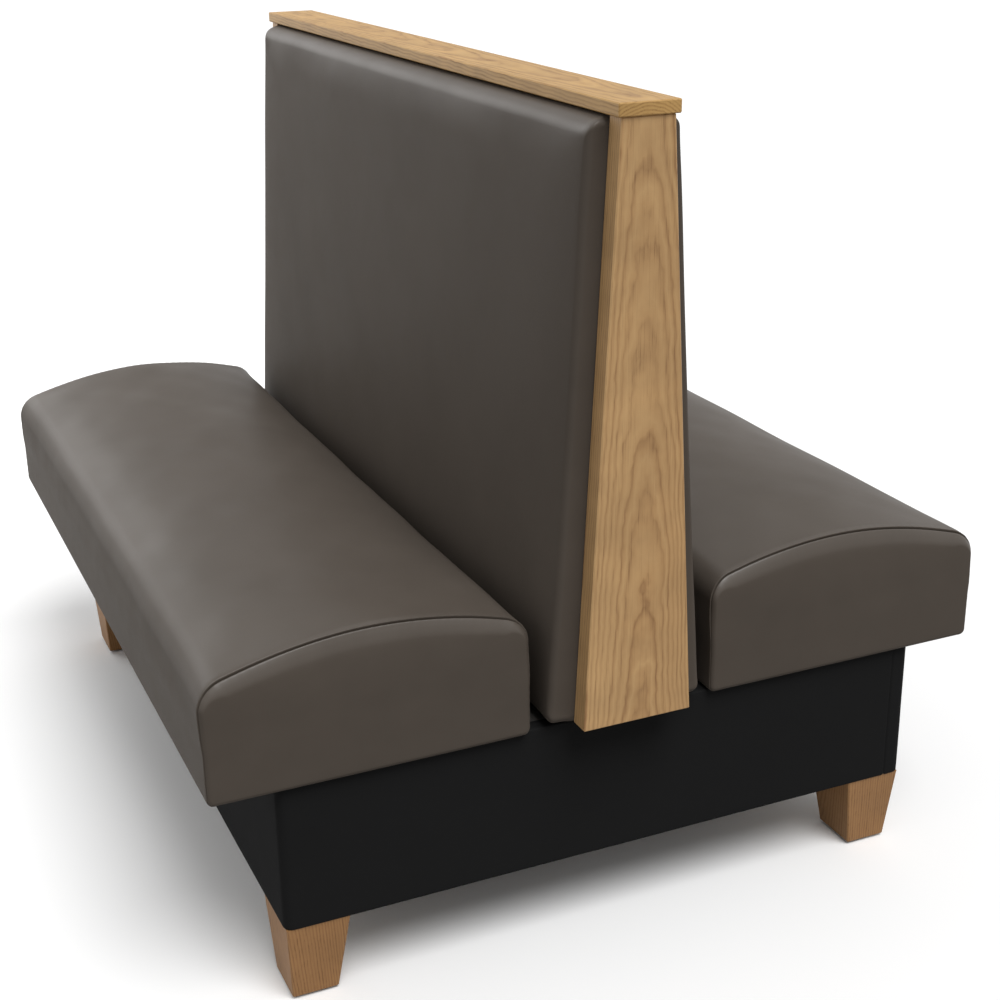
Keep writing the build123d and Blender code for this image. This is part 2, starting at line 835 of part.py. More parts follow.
def save_base():
    long_board = make_long_board()
    save("base_board_rear", long_board)
    save("base_board_front", other_face(long_board))
    end_board = make_end_board_of_base()
    save("base_board_right", end_board)
    save("base_board_left", other_end(end_board))
    for name, (x0, x1) in crosspiece_spans().items():
        save(f"base_crosspiece_{name}", make_crosspiece(x0, x1))
    ledger = make_ledger()
    save("base_ledger_rear", ledger)
    save("base_ledger_front", other_face(ledger))
    save("base_cover_front", make_base_cover(True))
    save("base_cover_rear", make_base_cover(False))
    save("base_corner_blocks", group(at_four_corners(make_corner_block())))


def save_legs():
    names = ("rear_right", "front_right", "rear_left", "front_left")
    for name, leg in zip(names, at_four_corners(make_leg())):
        save(f"leg_{name}", leg)
    save("leg_plates", group(at_four_corners(make_leg_plate())))
    save("leg_hanger_bolts", group(at_four_corners(make_hanger_bolt())))
    save("leg_glides", group(at_four_corners(make_glide())))
    screws = []
    for place in plate_screw_places():
        screws += at_four_corners(place * screw(plate_screw_length))
    save("leg_plate_screws", group(screws))


def save_back():
    for name, (x0, x1) in rib_spans().items():
        save(f"back_rib_{name}", make_rib(x0, x1))
    save("back_rib_bolts", group(make_rib_bolts()))
    save("back_rib_nuts", group(make_rib_nuts()))
    post = make_end_post()
    save("back_end_post_right", post)
    save("back_end_post_left", other_end(post))
    save("back_top_rail", make_top_rail())
    pieces = {"lower_rail": make_lower_rail(), "panel": make_panel(),
              "foam": make_pad_foam(), "cover": make_pad_cover()}
    for name, piece in pieces.items():
        save(f"back_{name}_rear", piece)
        save(f"back_{name}_front", other_face(piece))


def save_oak():
    save("top_cap", make_cap())
    board = make_end_board()
    save("end_board_right", board)
    save("end_board_left", other_end(board))
    save("top_cap_screws", group([place * screw(cap_screw_length) for place in cap_screw_places()]))
    screws = [place * screw(board_screw_length) for place in board_screw_places()]
    save("end_board_screws", group(screws + [other_end(one) for one in screws]))


def save_seats():
    end_rail = make_seat_end_rail()
    tongue = make_tongue()
    webbing = make_webbing()
    pieces = {"frame_front": make_seat_long_rail(True), "frame_back": make_seat_long_rail(False),
              "frame_right": end_rail, "frame_left": other_end(end_rail),
              "frame_centre": make_seat_centre_rail(), "foam": make_seat_foam(),
              "cover": make_seat_cover()}
    for name, piece in pieces.items():
        save(f"rear_seat_{name}", piece)
        save(f"front_seat_{name}", other_face(piece))
    for name, pair in {"tongues": [tongue, other_end(tongue)], "webbing": webbing}.items():
        save(f"rear_seat_{name}", group(pair))
        save(f"front_seat_{name}", group([other_face(one) for one in pair]))


save_base()
save_legs()
save_back()
save_oak()
save_seats()
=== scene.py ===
import math
import bpy
import numpy as np
from mathutils import Euler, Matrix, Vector


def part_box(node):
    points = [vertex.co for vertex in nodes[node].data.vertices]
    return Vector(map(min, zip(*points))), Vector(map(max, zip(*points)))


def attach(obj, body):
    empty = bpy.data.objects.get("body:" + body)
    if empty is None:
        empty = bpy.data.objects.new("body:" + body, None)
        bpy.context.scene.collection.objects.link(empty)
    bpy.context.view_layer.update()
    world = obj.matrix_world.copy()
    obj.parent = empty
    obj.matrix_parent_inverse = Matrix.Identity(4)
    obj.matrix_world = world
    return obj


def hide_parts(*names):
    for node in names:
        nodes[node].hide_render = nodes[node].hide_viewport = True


# Restaurant booth seating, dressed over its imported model. All lengths are metres.
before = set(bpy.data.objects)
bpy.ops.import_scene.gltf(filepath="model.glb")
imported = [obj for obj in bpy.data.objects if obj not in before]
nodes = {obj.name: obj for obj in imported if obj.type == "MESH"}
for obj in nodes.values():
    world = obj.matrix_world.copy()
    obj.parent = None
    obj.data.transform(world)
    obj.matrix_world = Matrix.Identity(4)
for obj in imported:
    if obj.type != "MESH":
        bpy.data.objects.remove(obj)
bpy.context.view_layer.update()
scene = bpy.context.scene
print("frame loaded,", len(nodes), "nodes")


# Node helpers
def startMaterial(name):
    # A material with its shader and the object coordinates ready to use
    material = bpy.data.materials.new(name)
    material.use_nodes = True
    tree = material.node_tree
    place = tree.nodes.new("ShaderNodeTexCoord").outputs["Object"]
    return material, tree, tree.nodes["Principled BSDF"], place


def feed(tree, socket, value):
    # A link if the value is a socket, otherwise a constant
    if isinstance(value, bpy.types.NodeSocket):
        tree.links.new(value, socket)
    else:
        socket.default_value = value


def finish(tree, shader, colour, roughness, relief):
    feed(tree, shader.inputs["Base Color"], colour)
    feed(tree, shader.inputs["Roughness"], roughness)
    feed(tree, shader.inputs["Normal"], relief)


def sums(tree, operation, *values):
    node = tree.nodes.new("ShaderNodeMath")
    node.operation = operation
    for socket, value in zip(node.inputs, values):
        feed(tree, socket, value)
    return node.outputs[0]


def swayed(tree, pattern, amount, start):
    # start, moved by amount times how far the pattern of 0 to 1 lies from its middle
    return sums(tree, "MULTIPLY_ADD", sums(tree, "SUBTRACT", pattern, 0.5), amount, start)


def mapped(tree, place, scale=(1, 1, 1), move=(0, 0, 0)):
    node = tree.nodes.new("ShaderNodeMapping")
    feed(tree, node.inputs["Vector"], place)
    node.inputs["Location"].default_value = move
    node.inputs["Scale"].default_value = scale
    return node.outputs[0]


def axes(tree, place, along, across):
    # The coordinates along the grain, across the face and into the board
    node = tree.nodes.new("ShaderNodeSeparateXYZ")
    feed(tree, node.inputs[0], place)
    into = (set("XYZ") - {along, across}).pop()
    return node.outputs[along], node.outputs[across], node.outputs[into]


def combined(tree, parts, factors=(1, 1, 1)):
    # One vector from three coordinates, each times its factor
    node = tree.nodes.new("ShaderNodeCombineXYZ")
    for socket, part, factor in zip(node.inputs, parts, factors):
        feed(tree, socket, part if factor == 1 else sums(tree, "MULTIPLY", part, factor))
    return node.outputs[0]


def noise(tree, place, scale, detail=2.0, roughness=0.5, distortion=0.0):
    node = tree.nodes.new("ShaderNodeTexNoise")
    feed(tree, node.inputs["Vector"], place)
    for name, value in (("Scale", scale), ("Detail", detail), ("Roughness", roughness),
                        ("Distortion", distortion)):
        node.inputs[name].default_value = value
    return node.outputs["Fac"]


def cells(tree, place, scale, feature="F1"):
    node = tree.nodes.new("ShaderNodeTexVoronoi")
    node.feature = feature
    feed(tree, node.inputs["Vector"], place)
    node.inputs["Scale"].default_value = scale
    return node.outputs["Distance"]


def ramp(tree, value, stops):
    # stops are (position, grey or linear colour)
    node = tree.nodes.new("ShaderNodeValToRGB")
    feed(tree, node.inputs["Fac"], value)
    while len(node.color_ramp.elements) < len(stops):
        node.color_ramp.elements.new(0.5)
    for element, (position, colour) in zip(node.color_ramp.elements, stops):
        element.position = position
        element.color = (*colour, 1) if isinstance(colour, tuple) else (colour, colour, colour, 1)
    return node.outputs["Color"]


def mixed(tree, share, first, second, kind="MIX"):
    node = tree.nodes.new("ShaderNodeMix")
    node.data_type = "RGBA"
    node.blend_type = kind
    feed(tree, node.inputs["Factor"], share)
    colours = [socket for socket in node.inputs if socket.type == "RGBA"]
    for socket, value in zip(colours, (first, second)):
        feed(tree, socket, (*value, 1) if isinstance(value, tuple) else value)
    return [socket for socket in node.outputs if socket.type == "RGBA"][0]


def tinted(tree, colour, tone):
    return mixed(tree, 1.0, colour, tone, "MULTIPLY")


def bumped(tree, height, depth, under=None):
    # depth is how far, in metres, the height from 0 to 1 stands out
    node = tree.nodes.new("ShaderNodeBump")
    feed(tree, node.inputs["Height"], height)
    node.inputs["Distance"].default_value = depth
    node.inputs["Strength"].default_value = 1.0
    if under is not None:
        feed(tree, node.inputs["Normal"], under)
    return node.outputs["Normal"]


# Finishes. Sizes are metres, a stretch is a scale along the grain, across it and into the board.
oak = {
    "light": (0.56, 0.355, 0.165),
    "tan": (0.45, 0.265, 0.115),
    "line": (0.285, 0.150, 0.060),
    "pore": (0.16, 0.075, 0.028),
    "shadeLow": (0.86, 0.84, 0.82),
    "shadeHigh": (1.08, 1.06, 1.04),
    "ringWidth": 0.0036,
    "heartDepth": 0.055,
    "taper": 0.030,
    "slowStretch": 0.35,
    "slowScale": 6.0,
    "waveStretch": 0.55,
    "waveScale": 42.0,
    "fineStretch": 0.25,
    "fineScale": 170.0,
    "bend": 0.030,
    "drift": 0.014,
    "wobble": 0.0046,
    "tremble": 0.0011,
    "yearSeed": 0.71,
    "poreStretch": (14.0, 620.0, 620.0),
    "poreShare": 0.5,
    "poreDepth": 0.00012,
    "shadeStretch": 1.2,
    "shadeScale": 16.0,
    "roughness": 0.54,
    "poreRoughness": 0.75,
    "specular": 0.35,
}


def oakMaterial(name, along, across, middle=(0, 0, 0), taper=1.0, depthSign=1.0, tint=(1, 1, 1),
                shift=0.0, wander=1.0, ringWidth=oak["ringWidth"]):
    # Plain sawn oak: year rings are the distance from a heart line behind the board that leans
    # along the grain, so they open into cathedrals in the middle and run straight at the sides
    material, tree, shader, place = startMaterial(name)
    centred = mapped(tree, place, move=tuple(-v for v in middle))
    lengthwise, sideways, inward = axes(tree, centred, along, across)
    seeded = sums(tree, "ADD", lengthwise, shift)
    board = (seeded, sideways, inward)
    slow = noise(tree, combined(tree, board, (oak["slowStretch"], 1, 1)), oak["slowScale"])
    waves = noise(tree, combined(tree, board, (oak["waveStretch"], 1, 1)), oak["waveScale"])
    fine = noise(tree, combined(tree, board, (oak["fineStretch"], 1, 1)), oak["fineScale"])
    bent = swayed(tree, slow, oak["bend"] * wander, sideways)
    depth = sums(tree, "ADD", sums(tree, "MULTIPLY", inward, depthSign), oak["heartDepth"])
    reach = sums(tree, "SQRT", sums(tree, "ADD", sums(tree, "MULTIPLY", bent, bent),
                                    sums(tree, "MULTIPLY", depth, depth)))
    warped = sums(tree, "MULTIPLY_ADD", seeded, oak["taper"] * taper, reach)
    warped = swayed(tree, slow, oak["drift"] * wander, warped)
    warped = swayed(tree, waves, oak["wobble"] * wander, warped)
    warped = swayed(tree, fine, oak["tremble"], warped)
    turns = sums(tree, "DIVIDE", warped, ringWidth)
    ring = sums(tree, "FRACT", turns)
    year = sums(tree, "FLOOR", turns)
    # Each year draws its rings more or less strongly
    strength = noise(tree, combined(tree, (year, 0.0, 0.0)), oak["yearSeed"], 0.0)
    base = ramp(tree, ring, [(0.0, oak["tan"]), (0.3, oak["light"]), (0.62, oak["tan"]),
                             (0.86, oak["line"]), (1.0, oak["tan"])])
    plain = ramp(tree, slow, [(0.3, oak["tan"]), (0.7, oak["light"])])
    colour = mixed(tree, ramp(tree, strength, [(0.35, 0.75), (0.7, 0.1)]), base, plain)
    # Pores are short dark streaks, most of them in the dark part of a ring
    streaks = combined(tree, (lengthwise, sideways, inward), oak["poreStretch"])
    pores = ramp(tree, noise(tree, streaks, 1.0, 2.0, 0.6), [(0.36, 1.0), (0.46, 0.0)])
    inRing = ramp(tree, ring, [(0.55, 0.25), (0.85, 1.0), (1.0, 0.35)])
    pores = sums(tree, "MULTIPLY", pores, sums(tree, "MULTIPLY", inRing, oak["poreShare"]))
    colour = mixed(tree, pores, colour, oak["pore"])
    broad = combined(tree, (lengthwise, sideways, inward), (oak["shadeStretch"], 1, 1))
    shade = ramp(tree, noise(tree, broad, oak["shadeScale"], 3.0),
                 [(0.25, oak["shadeLow"]), (0.75, oak["shadeHigh"])])
    colour = tinted(tree, colour, shade)
    if tint != (1, 1, 1):
        colour = tinted(tree, colour, tint)
    finish(tree, shader, colour,
           ramp(tree, pores, [(0.0, oak["roughness"]), (1.0, oak["poreRoughness"])]),
           bumped(tree, sums(tree, "SUBTRACT", 1.0, pores), oak["poreDepth"]))
    shader.inputs["Specular IOR Level"].default_value = oak["specular"]
    return material


taupe = {
    "colour": (0.085, 0.0705, 0.0580),
    "roughness": 0.58,
    "specular": 0.05,
    "mottle": 0.10,
}
black = {
    "colour": (0.0140, 0.0140, 0.0142),
    "roughness": 0.74,
    "specular": 0.02,
    "mottle": 0.05,
}
vinyl = {
    "cloudScale": 7.0,
    "patchScale": 31.0,
    "patchRoughness": 0.10,
    "shineStart": 0.12,
    "shineRoughness": 0.36,
    "shineClouds": 0.6,
    "grainScale": 780.0,
    "grainDepth": 0.00006,
    "creaseScale": 24.0,
    "creaseDepth": 0.0005,
}


def vinylMaterial(name, colour, roughness, specular, mottle):
    # Expanded vinyl: pebbled grain, slow clouds of tone and slight unevenness of the surface, with a
    # smoother skin where the piece's own attribute says that sitting and stretching polished it
    material, tree, shader, place = startMaterial(name)
    clouds = noise(tree, place, vinyl["cloudScale"], 3.0, 0.55)
    patches = noise(tree, place, vinyl["patchScale"])
    tone = swayed(tree, patches, mottle, swayed(tree, clouds, mottle * 2.0, 1.0))
    pebbles = cells(tree, place, vinyl["grainScale"], "DISTANCE_TO_EDGE")
    grain = bumped(tree, ramp(tree, pebbles, [(0.0, 0.0), (0.22, 1.0)]), vinyl["grainDepth"])
    creases = bumped(tree, noise(tree, place, vinyl["creaseScale"]), vinyl["creaseDepth"], grain)
    finish(tree, shader, tinted(tree, colour, tone),
           swayed(tree, patches, vinyl["patchRoughness"], roughness), creases)
    shader.inputs["Specular IOR Level"].default_value = specular
    shine = tree.nodes.new("ShaderNodeAttribute")
    shine.attribute_name = "polish"
    cloudy = swayed(tree, clouds, vinyl["shineClouds"], 1.0)
    feed(tree, shader.inputs["Coat Weight"], sums(tree, "MULTIPLY", shine.outputs["Fac"], cloudy))
    shader.inputs["Coat Roughness"].default_value = vinyl["shineRoughness"]
    return material


# The boards that show in the gap behind a seat are made near black: painted shade for the dark gap
paintedGapShade = {"light": (0.035, 0.031, 0.028), "dark": (0.018, 0.016, 0.015)}
pine = {
    "ringWidth": 0.0048,
    "lean": 0.45,
    "wander": 0.03,
    "wanderStretch": 0.3,
    "wanderScale": 14.0,
    "fibreStretch": (9.0, 400.0, 400.0),
    "fibreDepth": 0.00012,
    "roughness": 0.68,
}


def pineMaterial(name, along, across, light=(0.66, 0.48, 0.28), dark=(0.47, 0.29, 0.14)):
    # Planed pine: straight rings, slightly wavy
    material, tree, shader, place = startMaterial(name)
    board = axes(tree, place, along, across)
    wander = noise(tree, combined(tree, board, (pine["wanderStretch"], 1, 1)), pine["wanderScale"])
    path = sums(tree, "ADD", board[1], sums(tree, "MULTIPLY", board[2], pine["lean"]))
    path = sums(tree, "MULTIPLY_ADD", wander, pine["wander"], path)
    ring = sums(tree, "FRACT", sums(tree, "DIVIDE", path, pine["ringWidth"]))
    colour = ramp(tree, ring, [(0.0, light), (0.7, light), (0.93, dark), (1.0, light)])
    fibre = noise(tree, combined(tree, board, pine["fibreStretch"]), 1.0)
    colour = tinted(tree, colour, ramp(tree, fibre, [(0.3, 0.86), (0.7, 1.05)]))
    finish(tree, shader, colour, pine["roughness"], bumped(tree, fibre, pine["fibreDepth"]))
    return material


plywood = {
    "plyPair": 0.0036,
    "core": (0.50, 0.34, 0.19),
    "veneerStretch": (6.0, 90.0, 1),
    "veneerLow": (0.82, 0.78, 0.72),
    "veneerHigh": (1.1, 1.08, 1.05),
    "veneerDepth": 0.0001,
    "roughness": 0.7,
}


def plywoodMaterial(name, along, across, light=(0.62, 0.44, 0.26), dark=(0.36, 0.22, 0.11)):
    # Birch plywood: plies in turn along and across, seen on the edges, under a face veneer
    material, tree, shader, place = startMaterial(name)
    lengthwise, sideways, through = axes(tree, place, along, across)
    ply = sums(tree, "FRACT", sums(tree, "DIVIDE", through, plywood["plyPair"]))
    stripes = ramp(tree, ply, [(0.0, dark), (0.06, light), (0.49, light), (0.52, dark), (0.58, dark),
                               (0.95, plywood["core"]), (1.0, dark)])
    stretched = combined(tree, (lengthwise, sideways, 0.0), plywood["veneerStretch"])
    veneer = noise(tree, stretched, 1.0, 4.0, 0.6, 0.6)
    tone = ramp(tree, veneer, [(0.3, plywood["veneerLow"]), (0.7, plywood["veneerHigh"])])
    finish(tree, shader, tinted(tree, stripes, tone), plywood["roughness"],
           bumped(tree, veneer, plywood["veneerDepth"]))
    return material


def steelMaterial(name):
    # Zinc plate: bright, faintly blue and yellow, with fine scratches
    material, tree, shader, place = startMaterial(name)
    clouds = noise(tree, place, 60.0, 3.0, 0.6)
    scratches = noise(tree, mapped(tree, place, scale=(900, 120, 900)), 1.0)
    finish(tree, shader, ramp(tree, clouds, [(0.3, (0.50, 0.52, 0.55)), (0.7, (0.66, 0.64, 0.56))]),
           ramp(tree, scratches, [(0.3, 0.28), (0.7, 0.46)]), bumped(tree, scratches, 0.00004))
    shader.inputs["Metallic"].default_value = 1.0
    return material


def nylonMaterial(name):
    # Moulded nylon, worn matt where it slides
    material, tree, shader, place = startMaterial(name)
    scuffs = noise(tree, place, 260.0, 4.0, 0.7)
    finish(tree, shader, ramp(tree, scuffs, [(0.35, (0.30, 0.27, 0.23)), (0.65, (0.40, 0.37, 0.32))]),
           ramp(tree, scuffs, [(0.3, 0.42), (0.7, 0.62)]), bumped(tree, scuffs, 0.00008))
    return material


webbing = {
    "threadStep": 0.0032,
    "shade": (0.20, 0.125, 0.06),
    "thread": (0.42, 0.29, 0.15),
    "crest": (0.50, 0.36, 0.20),
    "fuzzScale": 900.0,
    "depth": 0.0004,
    "roughness": 0.92,
}


def webbingMaterial(name):
    # Jute webbing: threads that go over and under each other, the product of two sines
    material, tree, shader, place = startMaterial(name)
    lengthwise, sideways, _ = axes(tree, place, "X", "Y")
    count = 2 * math.pi / webbing["threadStep"]
    warp = sums(tree, "SINE", sums(tree, "MULTIPLY", lengthwise, count))
    weft = sums(tree, "SINE", sums(tree, "MULTIPLY", sideways, count))
    over = sums(tree, "MULTIPLY_ADD", sums(tree, "MULTIPLY", warp, weft), 0.5, 0.5)
    fuzz = noise(tree, place, webbing["fuzzScale"], 3.0, 0.7)
    weave = [(0.1, webbing["shade"]), (0.6, webbing["thread"]), (1.0, webbing["crest"])]
    colour = ramp(tree, over, weave)
    colour = tinted(tree, colour, ramp(tree, fuzz, [(0.3, 0.75), (0.7, 1.1)]))
    finish(tree, shader, colour, webbing["roughness"],
           bumped(tree, sums(tree, "ADD", over, fuzz), webbing["depth"]))
    return material


def foamMaterial(name):
    # Open cell foam
    material, tree, shader, place = startMaterial(name)
    bubbles = cells(tree, place, 620.0)
    clouds = noise(tree, place, 12.0, 3.0)
    colour = ramp(tree, clouds, [(0.3, (0.70, 0.60, 0.38)), (0.7, (0.80, 0.72, 0.50))])
    colour = tinted(tree, colour, ramp(tree, bubbles, [(0.1, 0.72), (0.6, 1.0)]))
    finish(tree, shader, colour, 0.95, bumped(tree, bubbles, 0.0005))
    return material


def paint(material, *names):
    for name in names:
        nodes[name].data.materials.clear()
        nodes[name].data.materials.append(material)


taupeVinyl = vinylMaterial("taupe_vinyl", **taupe)
blackVinyl = vinylMaterial("black_vinyl", **black)
seatFoam = foamMaterial("seat_foam")
print("finishes made")


# Surfaces on a grid
def gridFaces(rows, columns, wrap=True):
    # Quads between neighbouring rows, counted row by row
    across = columns if wrap else columns - 1
    row, column = np.meshgrid(np.arange(rows - 1), np.arange(across), indexing="ij")
    beside = (column + 1) % columns
    quads = np.stack([row * columns + column, row * columns + beside,
                      (row + 1) * columns + beside, (row + 1) * columns + column], axis=-1)
    return quads.reshape(-1, 4)


def makeMesh(name, points, quads, ends=()):
    # points is (count, 3), quads (count, 4), ends are rings of points closed by one face each
    mesh = bpy.data.meshes.new(name)
    faces = quads.tolist() + [list(ring) for ring in ends]
    mesh.from_pydata(points.tolist(), [], faces)
    mesh.validate()
    mesh.polygons.foreach_set("use_smooth", np.ones(len(mesh.polygons), bool))
    mesh.update()
    piece = bpy.data.objects.new(name, mesh)
    scene.collection.objects.link(piece)
    return piece


def ringMesh(name, points, side=1, quads=None, bothEnds=True):
    # A grid of rings with its first and last ring closed. The front of the booth is the rear
    # mirrored in Y, so there the faces are turned over to point outwards again.
    rows, columns = points.shape[:2]
    quads = gridFaces(rows, columns) if quads is None else quads
    ends = [np.arange(columns)[::-1], np.arange(columns) + (rows - 1) * columns]
    if side < 0:
        quads = quads[:, ::-1]
        ends = [ring[::-1] for ring in ends]
    mirrored = points * np.array([1, side, 1])
    return makeMesh(name, mirrored.reshape(-1, 3), quads, ends if bothEnds else ends[:1])


def thicken(piece, thickness):
    # The surface keeps its place and the wall grows inwards
    shell = piece.modifiers.new("thickness", "SOLIDIFY")
    shell.thickness = thickness
    shell.offset = -1


def surfaceNormals(points):
    # Unit normals of a grid that wraps in its second direction, by central differences
    alongRows = np.gradient(points, axis=0)
    alongRing = np.roll(points, -1, axis=1) - np.roll(points, 1, axis=1)
    normal = np.cross(alongRing, alongRows)
    size = np.linalg.norm(normal, axis=-1, keepdims=True)
    return normal / np.maximum(size, 1e-12)


def between(fine, coarse):
    # Matrix that reads values given at the coarse places at the fine ones, in straight lines
    spots = np.clip(np.searchsorted(coarse, fine, side="right") - 1, 0, len(coarse) - 2)
    share = np.clip((fine - coarse[spots]) / (coarse[spots + 1] - coarse[spots]), 0, 1)
    matrix = np.zeros((len(fine), len(coarse)))
    rows = np.arange(len(fine))
    matrix[rows, spots] = 1 - share
    matrix[rows, spots + 1] += share
    return matrix


def refined(shift, coarseQ, coarseV, fineQ, fineV):
    # The movement of the coarse grid, read at the places of the fine one
    wrapped = np.concatenate([shift, shift[:, :1]], axis=1)
    roundRing = between(fineV, np.append(coarseV, 1.0))
    return np.einsum("ac,cdk,bd->abk", between(fineQ, coarseQ), wrapped, roundRing)


def eased(values, passes, wrap):
    # Averages each value with its two neighbours, several times
    for _ in range(passes):
        if wrap:
            beside = np.roll(values, 1, axis=1) + np.roll(values, -1, axis=1)
        else:
            padded = np.concatenate([values[:1], values, values[-1:]])
            beside = padded[:-2] + padded[2:]
        values = values * 0.5 + beside * 0.25
    return values


def gentle(value):
    # 0 to 1 with a soft start and end
    share = np.clip(value, 0, 1)
    return share * share * (3 - 2 * share)


def bell(distance, width):
    # 1 in the middle, falling to either side as exp(-(distance / width)^2)
    return np.exp(-(distance / width) ** 2)


def faceWaves(across, upward, order):
    # Products of Chebyshev polynomials over a face that runs from -1 to 1 both ways, a row a point
    sideways = np.clip(across.ravel(), -1, 1)
    lengthways = np.clip(upward.ravel(), -1, 1)
    return np.polynomial.chebyshev.chebvander2d(sideways, lengthways, (order, order))


def unevenness(points, depth):
    # Slow waves in the padding: crossed sines of different lengths, in radians a metre
    x, y, z = points[..., 0], points[..., 1], points[..., 2]
    return depth * (np.sin(x * 23.0 + 1.3 * np.sin(y * 17.0)) * np.sin(y * 29.0 + z * 13.0 + 0.7)
                    + 0.6 * np.sin(x * 47.0 + z * 31.0) * np.sin(y * 61.0 + 1.9))


def polish(piece, points, top, edge, shoulder):
    # Keeps with each point how polished it is: a share for what faces up, more over the ends'
    # edges and the shoulders, where the normal lies halfway between two faces
    normal = surfaceNormals(points)
    up = np.clip((normal[..., 2] - vinyl["shineStart"]) / (1 - vinyl["shineStart"]), 0, 1)
    share = top * up + 2 * up * (edge * np.abs(normal[..., 0]) + shoulder * np.abs(normal[..., 1]))
    layer = piece.data.attributes.new("polish", "FLOAT", "POINT")
    layer.data.foreach_set("value", np.clip(share, 0, 1).ravel())


# How stiff the vinyl is while it is blown up
stretchy = {
    "quality": 6,
    "mass": 0.25,
    "stretch": 18,
    "shear": 8,
    "bend": 1.2,
    "frames": 20,
}


def puff(points, held, pressure, cap, name):
    # Cloth pressure on the closed coarse grid: returns how far each point moves, softly capped
    flat = points.reshape(-1, 3)
    piece = ringMesh(name, points)
    group = piece.vertex_groups.new(name="held")
    group.add(np.flatnonzero(held.ravel()).tolist(), 1.0, "REPLACE")
    cloth = piece.modifiers.new("Cloth", "CLOTH")
    settings = cloth.settings
    settings.quality = stretchy["quality"]
    settings.mass = stretchy["mass"]
    settings.tension_stiffness = stretchy["stretch"]
    settings.compression_stiffness = stretchy["stretch"]
    settings.shear_stiffness = stretchy["shear"]
    settings.bending_stiffness = stretchy["bend"]
    settings.use_pressure = True
    settings.uniform_pressure_force = pressure
    settings.effector_weights.gravity = 0
    settings.vertex_group_mass = "held"
    cloth.collision_settings.use_collision = False
    for step in range(1, stretchy["frames"] + 1):
        scene.frame_set(step)
    posed = piece.evaluated_get(bpy.context.evaluated_depsgraph_get())
    moved = np.zeros(len(flat) * 3, np.float32)
    posed.data.vertices.foreach_get("co", moved)
    shift = moved.reshape(-1, 3).astype(float) - flat
    bpy.data.objects.remove(piece)
    scene.frame_set(1)
    length = np.linalg.norm(shift, axis=1, keepdims=True)
    shift = shift / (1 + length / cap)
    print(name, "swelled by up to", round(float(np.linalg.norm(shift, axis=1).max()) * 1000, 1), "mm")
    return shift.reshape(points.shape)


# Outlines
def arc(centreY, centreZ, radius, start, end, count):
    # Points round a centre, angles in degrees from +Y towards +Z, without the last one
    angle = np.radians(np.linspace(start, end, count, endpoint=False))
    return np.stack([centreY + radius * np.cos(angle), centreZ + radius * np.sin(angle)], axis=1)


def straight(y0, z0, y1, z1, count):
    share = np.linspace(0, 1, count, endpoint=False)[:, None]
    return np.array([[y0, z0]]) * (1 - share) + np.array([[y1, z1]]) * share


def runningLength(points):
    # Length from the first point to each point
    return np.concatenate([[0], np.cumsum(np.linalg.norm(np.diff(points, axis=0), axis=1))])


def closedLine(outline):
    # The outline with its first point again at the end, and the running length
    closed = np.concatenate([outline, outline[:1]])
    return closed, runningLength(closed)


def readLine(spots, length, line):
    # Points of a line where its running length reaches the spots
    return np.stack([np.interp(spots, length, line[:, i]) for i in (0, 1)], axis=1)


def alongOutline(outline, shares):
    # Points and outward normals of a closed (y, z) outline at shares of its length. The normal is
    # at right angles to the line between two points a little before and after.
    closed, length = closedLine(outline)
    spots = shares * length[-1]
    step = 0.0015
    tangent = (readLine((spots + step) % length[-1], length, closed)
               - readLine((spots - step) % length[-1], length, closed))
    tangent = tangent / np.linalg.norm(tangent, axis=1, keepdims=True)
    return readLine(spots, length, closed), np.stack([tangent[:, 1], -tangent[:, 0]], axis=1)


# Seat cushions
seat = {
    "footRound": 0.008,
    "bulge": 0.003,
    "backBulge": 0.002,
    "frontRound": 0.039,
    "backRound": 0.036,
    "frontShoulder": 0.112,
    "backShoulder": 0.120,
    "crownLean": 17.0,
    "drawIn": 0.0025,
    "flange": 0.012,
    "vinylThickness": 0.0012,
    "endRound": 0.007,
    "endTopRound": 0.017,
    "endWallRound": 0.011,
    "endTopDrop": 0.022,
    "endSideDrop": 0.0062,
    "endFootDrop": 0.0065,
    "endDome": 0.0015,
    "wallStart": 0.005,
    "wallRise": 0.04,
    "easeRise": 0.05,
    "slack": 0.0018,
    "swell": 0.0044,
    "swellRise": 0.045,
    "heldRise": 0.012,
    "pressure": 3.6,
    "seamAngle": 30.0,
    "seamDepth": 0.0030,
    "seamWidth": 0.0008,
    "seamRidge": 0.0012,
    "ridgePlace": 2.3,
    "ridgeWidth": 1.1,
    "footSeamShare": 0.3,
    "puckerStep": 0.011,
    "puckerDepth": 0.00035,
    "puckerReach": 0.006,
    "unevenness": 0.0005,
    "waveOrder": 4,
    "ringPoints": 200,
    "flangePoints": 4,
    "coarsePoints": 84,
    # Rings over an end face, round its edge, to the middle of the length and beside the seam
    "coarseRings": (7, 4, 46, 0),
    "fineRings": (16, 14, 60, 25),
    "firstRing": 0.06,
    "seamBeside": 0.16,
    "foamGap": 0.0048,
    "solePoints": 26,
    "fill": 0.85,
    "topShine": 0.13,
    "edgeShine": 0.80,
    "shoulderShine": 0.20,
}
# How finely each stretch of the cushion's side view is drawn
sidePoints = {"sole": 200, "foot": 30, "wall": 160, "round": 80, "crown": 400}


def wall(foot, shoulder, rail, outer, bulge, slack, side):
    # Upright side: flat beside the frame, then out by a quarter sine up to the shoulder
    z = np.linspace(foot, shoulder, sidePoints["wall"], endpoint=False)
    rise = np.clip((z - rail) / (shoulder - rail), 0, 1)
    out = bulge * np.sin(rise * math.pi / 2) - slack * np.sin(rise * math.pi / 2) ** 2
    return np.stack([outer + side * (out - bulge), z], axis=1)


